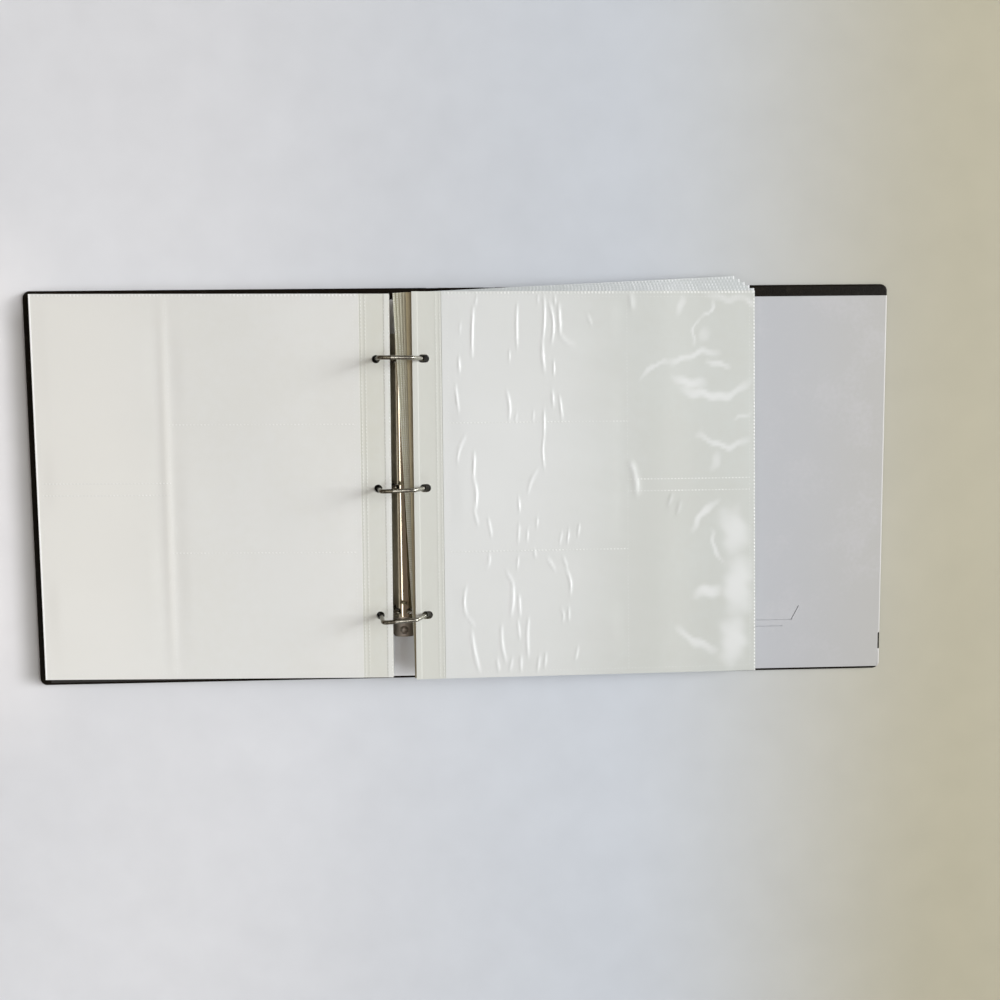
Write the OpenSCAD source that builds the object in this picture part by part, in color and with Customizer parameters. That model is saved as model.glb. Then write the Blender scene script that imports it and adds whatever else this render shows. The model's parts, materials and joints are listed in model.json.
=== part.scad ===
// A ring-bound photo album, lying open and flat on a table.
// Two leatherette covers fold about a stiff spine, a three-ring metal is riveted inside
// the back cover, and plastic pocket leaves hang on the rings, some turned to each side.
// +X runs from the back cover to the front cover, +Y to the head of the page, +Z up.
// The origin is the middle of the spine, on the table.

/* [Covers] */
// Width of each cover, from its fold line to its outer edge
cover_w = 344; // [330:1:380]
// Height of the covers and the spine
cover_h = 338; // [328:1:380]
// Thickness of the grey board inside a cover
board_t = 2.8; // [2:0.1:4]
// Thickness of the grey board inside the spine
spine_board_t = 2; // [1.4:0.1:2.8]
// Thickness of the leatherette
skin_t = 0.6; // [0.4:0.05:1]
// Thickness of the lining paper
lining_t = 0.3; // [0.2:0.05:0.5]
// Radius of a cover's outer corners, seen from above
corner_r = 6; // [4:0.5:12]
// Distance from a fold line to the board beside it
groove_half = 5; // [4.5:0.5:8]
// Width of the leatherette turned in over the inner face
turn_in = 15; // [12:1:25]
// Bare leatherette between the lining and the head edge
lining_head = 10; // [4:0.5:11]
// Bare leatherette between the lining and the tail edge
lining_tail = 2.4; // [2.4:0.2:11]
// Bare leatherette between the front lining and the outer edge
lining_fore = 2.4; // [2.4:0.2:11]
// Bare leatherette between the back lining and the outer edge
lining_back = 10; // [2.4:0.2:11]
// Distance from the front fold line to the tip of the tongue cut in the front lining
tongue_x = 264; // [200:1:300]
// Distance from the tail edge to the tongue
tongue_y = 40; // [30:0.5:120]
// Length of the tongue
tongue_l = 50; // [20:1:80]
// Width of the tongue
tongue_w = 5.6; // [4:0.2:10]
// Width of the slits round the tongue
slit_w = 0.7; // [0.4:0.1:1]

/* [Ring metal] */
// Distance from the back fold line to the middle of the ring metal
metal_offset = 28; // [27.5:0.5:34]
// Width of the arched shell
shell_w = 20; // [18:0.5:22]
// Height of the shell's upright sides
shell_side_h = 3.2; // [3:0.1:4]
// Rise of the arch above the upright sides
shell_rise = 3; // [2.8:0.1:4]
// Thickness of the shell's steel
shell_t = 0.8; // [0.6:0.05:1]
// Width of the lips turned in under the shell
shell_lip = 2; // [1.2:0.1:2.5]
// Length of the shell past an outer ring
shell_end = 22; // [20:0.5:40]
// Radius of the shell's corners, seen from above
shell_corner_r = 4; // [1:0.5:8]
// Distance by which the corner rounding misses the shell's sides, so that it ends in a clear edge
corner_ease = 0.15; // [0.1:0.05:0.3]
// Thickness of the two blades inside the shell
blade_t = 1; // [0.8:0.1:1.2]
// Height of the blades above the lining
blade_lift = 1.5; // [1.2:0.1:1.8]
// Length of the blades past an outer ring
blade_end = 9; // [6:0.5:12]
// Distance from the shell's end to its rivet
rivet_inset = 6; // [5:0.5:7]
// Diameter of the rivet's shank
rivet_d = 4; // [3:0.1:5]
// Diameter of the rivet's domed head
rivet_head_d = 7; // [6:0.1:8]
// Height of the rivet's domed head
rivet_head_h = 1.6; // [1:0.1:2.5]
// Depth to which the shell is flattened past the arch under the rivet's head
seat_cut = 0.1; // [0.08:0.02:0.2]
// Diameter of the rivet's flange under the board
rivet_flange_d = 9; // [7:0.1:12]
// Thickness of the rivet's flange
rivet_flange_t = 0.8; // [0.4:0.1:1.2]

/* [Rings] */
// Distance from ring to ring
ring_pitch = 108; // [80:0.5:115]
// Diameter of the ring wire
wire_d = 3.5; // [2.6:0.1:3.6]
// Distance from the middle of the metal to a ring's foot
foot_out = 4; // [3.5:0.1:4.5]
// Gap between the shell's crown and the ring's lower run
run_gap = 1.2; // [0.8:0.1:2]
// Distance from the middle of the metal to the left leg, where it passes the leaves
leg_out = 19.3; // [18:0.1:20.5]
// Distance from the middle of the metal to the ring's top left corner
crown_out = 15.2; // [14:0.1:18]
// Height of the ring's top left corner above its lower run
ring_rise = 31; // [28:0.5:38]
// Distance from the middle of the metal to the corner of the right heel
heel_out = 24.5; // [23.5:0.1:24.8]
// Bend radius of the right heel
heel_r = 8; // [7:0.5:9]
// Distance from the middle of the metal to the right shoulder
shoulder_out = 11.9; // [10:0.1:13]
// Height of the right shoulder above the lower run
shoulder_rise = 23.5; // [21:0.5:26]
// Distance left of the middle at which the half rings meet
tip_out = 6; // [3:0.1:9]
// Bend radius of the other corners of the wire
bend_r = 3; // [2.6:0.1:4]

/* [Leaves] */
// Leaves lying on the back cover
left_leaves = 5; // [1:1:8]
// Leaves lying on the front cover
right_leaves = 6; // [1:1:8]
// Width of a leaf with its binding strip
leaf_w = 297; // [260:1:310]
// Height of a leaf
leaf_h = 325; // [300:1:330]
// Width of the binding strip
strip_w = 25; // [24:0.5:32]
// Distance from the binding edge to the middle of the holes
hole_edge = 10.5; // [8:0.5:11]
// Width of the column of upright pockets at the free edge
upright_w = 113; // [90:1:130]
// Thickness of the white sheet in a leaf
sheet_t = 0.5; // [0.3:0.05:0.6]
// Thickness of each clear film
film_t = 0.2; // [0.1:0.05:0.3]
// Width of a welded seam in the film
seam_w = 1.6; // [0.8:0.1:3]
// Distance between the two seams across the upright column
seam_pair = 10; // [6:0.5:14]
// Bare margin between a leaf's edge and its border weld
border_in = 4; // [2:0.5:8]
// Turn of the lowest leaf on the right, out of square, in degrees
stack_yaw = 2; // [0:0.1:2]

/* [Clearances] */
// Gap between the two halves of a fold
fold_gap = 0.2; // [0.1:0.05:0.4]
// Gap between a board and the leatherette round it
board_fit = 0.1; // [0.05:0.05:0.3]
// Room left over the rings when the album is shut
shut_gap = 0.8; // [0.5:0.1:2]
// Gap between a blade and the shell, and between the blades
blade_gap = 0.3; // [0.2:0.05:0.4]
// Room for a foot in its slot at each side
slot_gap = 0.5; // [0.3:0.1:0.8]
// Length of slot that a foot sweeps as its ring opens
slot_sweep = 2; // [1.8:0.1:2.4]
// Gap round a staked foot or a rivet's shank
stake_fit = 0.03; // [0.02:0.01:0.08]
// Swelling of the wire's diameter in a bend
bend_swell = 0.04; // [0.02:0.01:0.1]
// Gap between the tips of a closed ring
tip_gap = 0.2; // [0.1:0.05:0.4]
// Play of a leaf's hole round the wire
hole_play = 3.3; // [3:0.1:4]
// Air between one leaf and the next
leaf_air = 0.2; // [0.1:0.05:0.6]
// Air between the lowest leaf and the lower run of the rings
stack_lift = 1.5; // [1.2:0.1:3]
// Air between the lowest leaf's free edge and the lining
rest_gap = 0.3; // [0.2:0.05:1]
// Room for wrinkled film between the two stacks when the album is shut
film_room = 2; // [0.5:0.1:3]

/* [Hidden] */
$fn = 64;
past = 1;

// Covers
panel_t = board_t + 2 * skin_t;
spine_t = spine_board_t + 2 * skin_t;
inner_z = panel_t + lining_t;
fold_z = skin_t + lining_t;
wrap_in = panel_t / 2 - skin_t;
flange_lap = 0.1;
spine_wrap_in = spine_t / 2 - skin_t;

// Ring metal, heights counted from the table
crown_h = shell_side_h + shell_rise;
arch_r = (shell_w * shell_w / 4 + shell_rise * shell_rise) / (2 * shell_rise);
crown_z = inner_z + crown_h;
shell_l = 2 * (ring_pitch + shell_end);
rivet_y = shell_l / 2 - rivet_inset;
seat_drop = seat_cut + arch_r - sqrt(arch_r * arch_r - rivet_head_d * rivet_head_d / 4);
seat_z = crown_z - seat_drop;
head_r = (rivet_head_d * rivet_head_d / 4 + rivet_head_h * rivet_head_h) / (2 * rivet_head_h);
blade_l = 2 * (ring_pitch + blade_end);
blade_out = shell_w / 2 - shell_t - blade_gap;
blade_z = inner_z + blade_lift;
pivot_out = blade_out - blade_t / 2;
pivot_z = blade_z + blade_t / 2;
slot_w = wire_d + 2 * slot_gap;
ring_ys = [-ring_pitch, 0, ring_pitch];
bend_lap = 0.1;

// Rings, in a plane across the metal: distance right of its middle, height above the table
run_z = crown_z + run_gap + wire_d / 2;
leaf_t = sheet_t + 2 * film_t;
leaf_pitch = leaf_t + leaf_air;
stack_z = run_z + wire_d / 2 + stack_lift + sheet_t / 2;
left_middle_z = stack_z + (left_leaves - 1) * leaf_pitch / 2;
top_corner = [-crown_out, run_z + ring_rise];
leg_slope = (leg_out - crown_out) / (top_corner[1] - left_middle_z);
left_heel = [-leg_out - leg_slope * (left_middle_z - run_z), run_z];
shoulder = [shoulder_out, run_z + shoulder_rise];
heel = [heel_out, run_z];
bar_slope = (top_corner[1] - shoulder[1]) / (top_corner[0] - shoulder[0]);
meeting = [-tip_out, top_corner[1] + bar_slope * (crown_out - tip_out)];
bar_way = (shoulder - top_corner) / norm(shoulder - top_corner);
left_path = [[-foot_out, blade_z], [-foot_out, run_z], left_heel, top_corner,
             meeting - bar_way * tip_gap / 2];
left_bends = [0, bend_r, bend_r, bend_r, 0];
right_path = [[foot_out, blade_z], [foot_out, run_z], heel, shoulder,
              meeting + bar_way * tip_gap / 2];
right_bends = [0, bend_r, heel_r, bend_r, 0];
ring_top_z = bend_middle(left_path, 3, bend_r)[1] + bend_r + wire_d / 2;
heel_middle = bend_middle(right_path, 2, heel_r);

// The spine is as wide as the shut album is deep inside
spine_w = ring_top_z - inner_z + shut_gap + 2 * (inner_z - fold_z);
spine_core_w = spine_w - 2 * groove_half;
back_fold_x = -spine_w / 2;
front_fold_x = spine_w / 2;
metal_x = back_fold_x - metal_offset;

// Leaves
hole_d = wire_d + hole_play;
leaf_reach = leaf_w - hole_edge;
panel_in = strip_w - hole_edge;
wide_w = leaf_w - strip_w - upright_w;
leaf_tilt = asin((stack_z - leaf_t / 2 - inner_z - rest_gap) / leaf_reach);

// The line that the leaves turn about, so that a turned stack lands on the left one
left_top_z = stack_z + (left_leaves - 1) * leaf_pitch;
right_top_z = stack_z + (right_leaves - 1) * leaf_pitch;
turn_z = (left_top_z + right_top_z + leaf_t + film_room
          + (leg_out + right_hole_out(right_leaves)) * tan(leaf_tilt)) / 2;

LEAF_PIECES = ["sheet", "strip", "film"];

black = [0.09, 0.08, 0.08];
grey_board = [0.55, 0.52, 0.48];
lilac_paper = [0.76, 0.76, 0.8];
nickel = [0.75, 0.74, 0.7];
white_sheet = [0.88, 0.87, 0.83];
clear_film = [0.92, 0.93, 0.92, 0.35];

// Unit vector from one corner of a wire's path to another
function way(path, from, to) = (path[to] - path[from]) / norm(path[to] - path[from]);

// Half the angle inside corner i of a path
function half_corner(path, i) = acos(way(path, i, i - 1) * way(path, i, i + 1)) / 2;

// Length of straight wire that a bend of radius r takes up at corner i
function bend_length(path, i, r) = r == 0 ? 0 : r / tan(half_corner(path, i));

// Middle of the bend at corner i
function bend_middle(path, i, r) =
    let (across = way(path, i, i - 1) + way(path, i, i + 1))
    path[i] + across / norm(across) * r / sin(half_corner(path, i));

// Distance of the right wire from the middle of the metal at the height of leaf i,
// on the heel's bend or on the straight slant above it
function right_hole_out(i) =
    let (z = stack_z + (i - 1) * leaf_pitch)
    let (slant = way(right_path, 2, 3))
    let (bend_top = heel[1] + bend_length(right_path, 2, heel_r) * slant[1])
    z < bend_top
        ? heel_middle[0] + sqrt(heel_r * heel_r - pow(z - heel_middle[1], 2))
        : heel[0] + slant[0] / slant[1] * (z - heel[1]);

// Turn of right leaf i out of square: the lowest most, the top one not at all
function leaf_yaw(i) = right_leaves == 1 ? 0 : stack_yaw * (right_leaves - i) / (right_leaves - 1);

// Round wire bent along a path in the XY plane. Each bend swells a little, as a cold
// bend does, and takes in the ends of the straight runs.
module bent_wire(path, bends) {
    for (i = [0:len(path) - 2]) {
        run = path[i + 1] - path[i];
        start = bends[i] == 0 ? 0 : bend_length(path, i, bends[i]) - bend_lap;
        end = bends[i + 1] == 0 ? 0 : bend_length(path, i + 1, bends[i + 1]) - bend_lap;
        translate(path[i] + way(path, i, i + 1) * start)
            rotate([0, 0, atan2(run[1], run[0])])
                rotate([0, 90, 0])
                    cylinder(d = wire_d, h = norm(run) - start - end);
    }
    for (i = [1:len(path) - 2]) {
        back = -way(path, i, i - 1);
        ahead = way(path, i, i + 1);
        side = sign(back[0] * ahead[1] - back[1] * ahead[0]);
        first = side > 0 ? back : -ahead;
        translate(bend_middle(path, i, bends[i]))
            rotate([0, 0, atan2(first[1], first[0]) - 90])
                rotate_extrude(angle = 180 - 2 * half_corner(path, i))
                    translate([bends[i], 0])
                        circle(d = wire_d + bend_swell);
    }
}

// A profile in the plane across the album, drawn out along Y
module along_y(length) {
    rotate([90, 0, 0])
        linear_extrude(height = length, center = true)
            children();
}

// Places a cover's shape, drawn with its fold line at x = 0 and its outer edge at +X
module on_front() { translate([front_fold_x, 0, 0]) children(); }
module on_back() { translate([back_fold_x, 0, 0]) mirror([1, 0, 0]) children(); }

// Flat plate from x0 to x1, with rounded corners at x1
module plate(x0, x1, h, t, r) {
    linear_extrude(height = t) {
        translate([x0, -h / 2]) square([x1 - x0 - r, h]);
        translate([x0, -h / 2 + r]) square([x1 - x0, h - 2 * r]);
        for (side = [-1, 1])
            translate([x1 - r, side * (h / 2 - r)]) circle(r);
    }
}

// Edge profile of a wrapped panel: flat for a length, then a full round
module round_edge(length, t) {
    square([length - t / 2, t]);
    intersection() {
        translate([length - t / 2, t / 2]) circle(t / 2);
        square([length, t]);
    }
}

// Wrapped panel with full round edges on its three free sides
module soft_panel(x0, x1, h, t, r) {
    straight = h - 2 * r;
    along_y(straight) translate([x0, 0]) round_edge(x1 - x0, t);
    for (side = [0, 1]) mirror([0, side, 0]) {
        translate([x0, straight / 2, 0])
            rotate([90, 0, 90])
                linear_extrude(height = x1 - r - x0)
                    round_edge(r, t);
        translate([x1 - r, straight / 2, 0])
            rotate_extrude(angle = 90)
                round_edge(r, t);
    }
}

// Leatherette of one cover: under the board, round its edges and turned in, with the
// bare strip that reaches the fold line
module cover_skin() {
    difference() {
        union() {
            soft_panel(groove_half, cover_w, cover_h, panel_t, corner_r);
            translate([fold_gap / 2, -cover_h / 2, 0])
                cube([groove_half - fold_gap / 2 + flange_lap, cover_h, skin_t]);
        }
        translate([0, 0, skin_t])
            plate(groove_half - past, cover_w - wrap_in, cover_h - 2 * wrap_in, board_t,
                  corner_r - wrap_in);
        translate([groove_half - past, turn_in - cover_h / 2, skin_t + board_t - past])
            cube([cover_w - turn_in - groove_half + past, cover_h - 2 * turn_in,
                  skin_t + 2 * past]);
    }
}

// Grey board of one cover
module cover_board() {
    translate([0, 0, skin_t])
        plate(groove_half + lining_t, cover_w - wrap_in - board_fit,
              cover_h - 2 * (wrap_in + board_fit), board_t, corner_r - wrap_in - board_fit);
}

// Lining of one cover: over the board and the turned-in leatherette, down the board's
// edge and along the groove to the fold line
module cover_lining(outer_margin) {
    tail_y = lining_tail - cover_h / 2;
    length = cover_h - lining_tail - lining_head;
    open_length = cover_h - 2 * (turn_in + board_fit);
    translate([groove_half, tail_y, panel_t])
        cube([cover_w - outer_margin - groove_half, length, lining_t]);
    translate([groove_half, -open_length / 2, skin_t + board_t])
        cube([cover_w - turn_in - board_fit - groove_half, open_length, skin_t]);
    translate([groove_half, -open_length / 2, skin_t])
        cube([lining_t, open_length, board_t]);
    translate([fold_gap / 2, -open_length / 2, skin_t])
        cube([groove_half + lining_t - fold_gap / 2, open_length, lining_t]);
}

// Shank and flange room of the two rivets, grown by a fit
module rivet_room(fit) {
    for (side = [-1, 1]) translate([metal_x, side * rivet_y, skin_t]) {
        cylinder(d = rivet_d + 2 * fit, h = crown_z - skin_t + past);
        cylinder(d = rivet_flange_d + 2 * fit, h = rivet_flange_t);
    }
}

module back_board() {
    color(grey_board) difference() {
        on_back() cover_board();
        rivet_room(stake_fit);
    }
}

module back_skin() { color(black) on_back() cover_skin(); }

module back_lining() {
    color(lilac_paper) difference() {
        on_back() cover_lining(lining_back);
        rivet_room(stake_fit);
    }
}

module front_board() { color(grey_board) on_front() cover_board(); }
module front_skin() { color(black) on_front() cover_skin(); }

module front_lining() {
    color(lilac_paper) on_front() difference() {
        cover_lining(lining_fore);
        tongue_slits();
    }
}

// Slits that free a paper tongue in the lining: one below it, one above it that turns up
// at the tip, cut a little deeper than the paper
module tongue_slits() {
    tip_turn = 62;
    tip_l = 14;
    short = 8;
    translate([tongue_x, tongue_y - cover_h / 2, inner_z - 2 * lining_t])
        linear_extrude(height = 2 * lining_t + past) {
            translate([-tongue_l, 0]) square([tongue_l - short, slit_w]);
            translate([-tongue_l, tongue_w]) square([tongue_l + slit_w, slit_w]);
            translate([0, tongue_w]) rotate(tip_turn) square([tip_l, slit_w]);
        }
}

module spine_board() {
    length = cover_h - 2 * (spine_wrap_in + board_fit);
    color(grey_board)
        translate([lining_t - spine_core_w / 2, -length / 2, skin_t])
            cube([spine_core_w - 2 * lining_t, length, spine_board_t]);
}

module spine_skin() {
    board_l = cover_h - 2 * spine_wrap_in;
    open_l = cover_h - 2 * turn_in;
    color(black) difference() {
        union() {
            translate([-spine_core_w / 2, -open_l / 2, 0])
                cube([spine_core_w, open_l, skin_t]);
            for (side = [0, 1]) mirror([side, 0, 0])
                translate([spine_core_w / 2 - flange_lap, -cover_h / 2, 0])
                    cube([groove_half - fold_gap / 2 + flange_lap, cover_h, skin_t]);
            for (side = [0, 1]) mirror([0, side, 0])
                translate([-spine_core_w / 2, open_l / 2, 0])
                    rotate([90, 0, 90])
                        linear_extrude(height = spine_core_w)
                            round_edge(turn_in, spine_t);
        }
        translate([-spine_core_w / 2 - past, -board_l / 2, skin_t])
            cube([spine_core_w + 2 * past, board_l, spine_board_t]);
    }
}

module spine_lining() {
    tail_y = lining_tail - cover_h / 2;
    length = cover_h - lining_tail - lining_head;
    open_length = cover_h - 2 * (turn_in + board_fit);
    flat_w = spine_w - fold_gap;
    color(lilac_paper) {
        translate([-spine_core_w / 2, tail_y, spine_t])
            cube([spine_core_w, length, lining_t]);
        translate([-spine_core_w / 2, -open_length / 2, skin_t + spine_board_t])
            cube([spine_core_w, open_length, skin_t]);
        for (side = [0, 1]) mirror([side, 0, 0]) {
            translate([spine_core_w / 2 - lining_t, -open_length / 2, skin_t])
                cube([lining_t, open_length, spine_board_t]);
            translate([spine_core_w / 2 - lining_t, -open_length / 2, skin_t])
                cube([(flat_w - spine_core_w) / 2 + lining_t, open_length, lining_t]);
        }
    }
}

// Arch of the shell, w wide and filled down to its base
module arch(w, r) {
    intersection() {
        translate([0, crown_h - arch_r]) circle(r);
        translate([-w / 2, 0]) square([w, crown_h]);
    }
}

module ring_shell() {
    slot_l = wire_d + 2 * slot_gap + slot_sweep;
    color(nickel) translate([metal_x, 0, inner_z]) difference() {
        intersection() {
            along_y(shell_l) {
                difference() {
                    arch(shell_w, arch_r);
                    arch(shell_w - 2 * shell_t, arch_r - shell_t);
                }
                for (side = [-1, 1])
                    translate([side * (shell_w - shell_lip) / 2, shell_t / 2])
                        square([shell_lip, shell_t], center = true);
            }
            for (side = [0, 1]) rotate([0, 0, side * 180]) rotate([0, 0, 90])
                plate(-past, shell_l / 2, shell_w + 2 * corner_ease, crown_h + past,
                      shell_corner_r);
        }
        for (y = ring_ys) for (side = [0, 1]) mirror([side, 0, 0])
            translate([foot_out - wire_d / 2 - slot_gap, y, shell_side_h / 2])
                slot(slot_l);
        translate([-metal_x, 0, -inner_z]) rivet_room(stake_fit);
        for (side = [-1, 1]) translate([0, side * rivet_y, seat_z - inner_z])
            cylinder(d = rivet_head_d + 2 * stake_fit, h = crown_h);
    }
}

// Oblong slot for a ring's foot, starting at x = 0
module slot(length) {
    linear_extrude(height = crown_h) {
        translate([slot_w / 2, -slot_w / 2]) square([length - slot_w, slot_w]);
        for (x = [slot_w / 2, length - slot_w / 2]) translate([x, 0]) circle(d = slot_w);
    }
}

module shell_rivets() {
    color(nickel) for (side = [-1, 1]) translate([metal_x, side * rivet_y, 0]) {
        translate([0, 0, skin_t]) cylinder(d = rivet_flange_d, h = rivet_flange_t);
        translate([0, 0, skin_t]) cylinder(d = rivet_d, h = seat_z - skin_t + rivet_head_h / 2);
        translate([0, 0, seat_z]) intersection() {
            translate([0, 0, rivet_head_h - head_r]) sphere(head_r);
            cylinder(d = rivet_head_d, h = rivet_head_h);
        }
    }
}

// One of the two blades that carry the half rings, on the right of the metal
module blade() {
    translate([metal_x, 0, blade_z]) difference() {
        translate([blade_gap / 2, -blade_l / 2, 0])
            cube([blade_out - blade_gap / 2, blade_l, blade_t]);
        for (y = ring_ys) translate([foot_out, y, -past])
            cylinder(d = wire_d + 2 * stake_fit, h = blade_t + 2 * past);
    }
}

module right_blade() { color(nickel) blade(); }

module left_blade() {
    color(nickel) translate([2 * metal_x, 0, 0]) mirror([1, 0, 0]) blade();
}

// Three half rings along one path
module half_rings(path, bends) {
    color(nickel) for (y = ring_ys) translate([metal_x, y, 0])
        rotate([90, 0, 0]) bent_wire(path, bends);
}

module left_rings() { half_rings(left_path, left_bends); }
module right_rings() { half_rings(right_path, right_bends); }

// Places leaf i, drawn with its line of holes at x = 0 and its free edge at +X
module on_left(i) {
    translate([metal_x - leg_out, 0, stack_z + (i - 1) * leaf_pitch])
        mirror([1, 0, 0]) rotate([0, leaf_tilt, 0]) children();
}

module on_right(i) {
    translate([metal_x + right_hole_out(i), 0, stack_z + (i - 1) * leaf_pitch])
        rotate([0, leaf_tilt, leaf_yaw(i)]) children();
}

// White sheet of a leaf, between its two films
module leaf_sheet() {
    color(white_sheet) translate([panel_in, -leaf_h / 2, -sheet_t / 2])
        cube([leaf_w - strip_w, leaf_h, sheet_t]);
}

// Binding strip welded to the sheet, with its three holes, which stay on the rings
// where the leaf lies out of square
module leaf_strip(yaw = 0) {
    color(white_sheet) difference() {
        translate([-hole_edge, -leaf_h / 2, -sheet_t / 2]) cube([strip_w, leaf_h, sheet_t]);
        for (y = ring_ys) rotate([0, 0, -yaw]) translate([0, y, -sheet_t])
            cylinder(d = hole_d, h = 2 * sheet_t);
    }
}

// Clear film on both faces of a leaf, pressed down along the seams of its pockets
module leaf_film() {
    color(clear_film) for (face = [0, 1]) mirror([0, 0, face]) translate([panel_in, 0, sheet_t / 2])
        difference() {
            translate([0, -leaf_h / 2, 0]) cube([leaf_w - strip_w, leaf_h, film_t]);
            translate([0, 0, film_t / 2]) seams();
        }
}

// Welded seams: three lying pockets beside the strip, two upright ones at the free edge
module seams() {
    panel_w = leaf_w - strip_w;
    translate([wide_w - seam_w / 2, border_in - leaf_h / 2, 0])
        cube([seam_w, leaf_h - 2 * border_in, film_t]);
    for (y = [-leaf_h / 6, leaf_h / 6])
        translate([border_in, y - seam_w / 2, 0])
            cube([wide_w - border_in - 2 * seam_w, seam_w, film_t]);
    for (y = [-seam_pair / 2, seam_pair / 2])
        translate([wide_w + 2 * seam_w, y - seam_w / 2, 0])
            cube([upright_w - 2 * seam_w - border_in, seam_w, film_t]);
    for (x = [border_in, panel_w - border_in - seam_w])
        translate([x, border_in - leaf_h / 2, 0])
            cube([seam_w, leaf_h - 2 * border_in, film_t]);
    for (y = [-leaf_h / 2 + border_in, leaf_h / 2 - border_in - seam_w])
        translate([border_in, y, 0])
            cube([panel_w - 2 * border_in, seam_w, film_t]);
}

back_board();
back_skin();
back_lining();
spine_board();
spine_skin();
spine_lining();
front_board();
front_skin();
front_lining();
ring_shell();
shell_rivets();
left_blade();
right_blade();
left_rings();
right_rings();
for (i = [1:left_leaves]) {
    on_left(i) leaf_sheet();
    on_left(i) leaf_strip();
    on_left(i) leaf_film();
}
for (i = [1:right_leaves]) {
    on_right(i) leaf_sheet();
    on_right(i) leaf_strip(leaf_yaw(i));
    on_right(i) leaf_film();
}
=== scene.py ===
"""Looks of an open ring-bound photo album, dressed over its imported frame.

Lengths are in metres unless a name ends in _mm. The frame is the album's own:
+X from the back cover to the front cover, +Y to the head of the page, +Z up.
"""

import json
import logging
import math
from abc import ABC, abstractmethod
from dataclasses import dataclass, field
from enum import Enum
from typing import Any, Callable, ClassVar

import bpy
import numpy as np
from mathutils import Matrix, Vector


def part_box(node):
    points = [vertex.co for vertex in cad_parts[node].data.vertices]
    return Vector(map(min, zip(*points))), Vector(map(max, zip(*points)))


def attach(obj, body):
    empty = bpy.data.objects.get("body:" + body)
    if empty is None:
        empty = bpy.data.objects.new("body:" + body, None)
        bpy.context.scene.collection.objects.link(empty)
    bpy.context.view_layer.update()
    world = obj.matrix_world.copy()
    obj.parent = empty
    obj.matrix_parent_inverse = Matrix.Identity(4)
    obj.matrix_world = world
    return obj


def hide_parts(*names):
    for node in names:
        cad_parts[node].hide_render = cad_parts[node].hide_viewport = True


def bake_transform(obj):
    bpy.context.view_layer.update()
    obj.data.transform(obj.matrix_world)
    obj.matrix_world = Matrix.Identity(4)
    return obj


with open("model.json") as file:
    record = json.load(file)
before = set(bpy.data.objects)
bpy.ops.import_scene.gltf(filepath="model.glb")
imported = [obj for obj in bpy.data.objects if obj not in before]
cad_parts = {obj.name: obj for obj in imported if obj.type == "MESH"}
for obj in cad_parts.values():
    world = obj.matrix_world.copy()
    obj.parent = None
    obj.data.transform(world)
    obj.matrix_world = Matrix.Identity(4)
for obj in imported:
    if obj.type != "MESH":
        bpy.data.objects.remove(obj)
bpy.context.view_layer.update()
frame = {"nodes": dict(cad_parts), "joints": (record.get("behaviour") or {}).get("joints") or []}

MM = 0.001
LOG = logging.getLogger("album")
# How sharp the edges of the strokes of painted light are.
PAINTED_LIGHT_SHARPNESS = 4.0
STEEP_NORMAL = 0.5
NOISE_CORE = (0.3, 0.7)

Colour = tuple[float, float, float, float]
Point = tuple[float, float, float]
Span = tuple[float, float]
Array = np.ndarray
Material = bpy.types.Material
Piece = bpy.types.Object
Socket = bpy.types.NodeSocket
Sockets = bpy.types.bpy_prop_collection


class Side(Enum):
    """The cover that a leaf lies on."""

    LEFT = "left"
    RIGHT = "right"


class Way(Enum):
    """The direction in which a metal piece was rolled or drawn."""

    LENGTHWISE = "lengthwise"
    ALL_ROUND = "all round"


def rgb(red: float, green: float, blue: float) -> Colour:
    """An opaque colour from three linear values."""
    return (red, green, blue, 1.0)


def blend(first: Colour, second: Colour, share: float) -> Colour:
    """The colour a share of the way from the first to the second."""
    mixed = [a + (b - a) * share for a, b in zip(first, second)]
    return (mixed[0], mixed[1], mixed[2], mixed[3])


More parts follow.
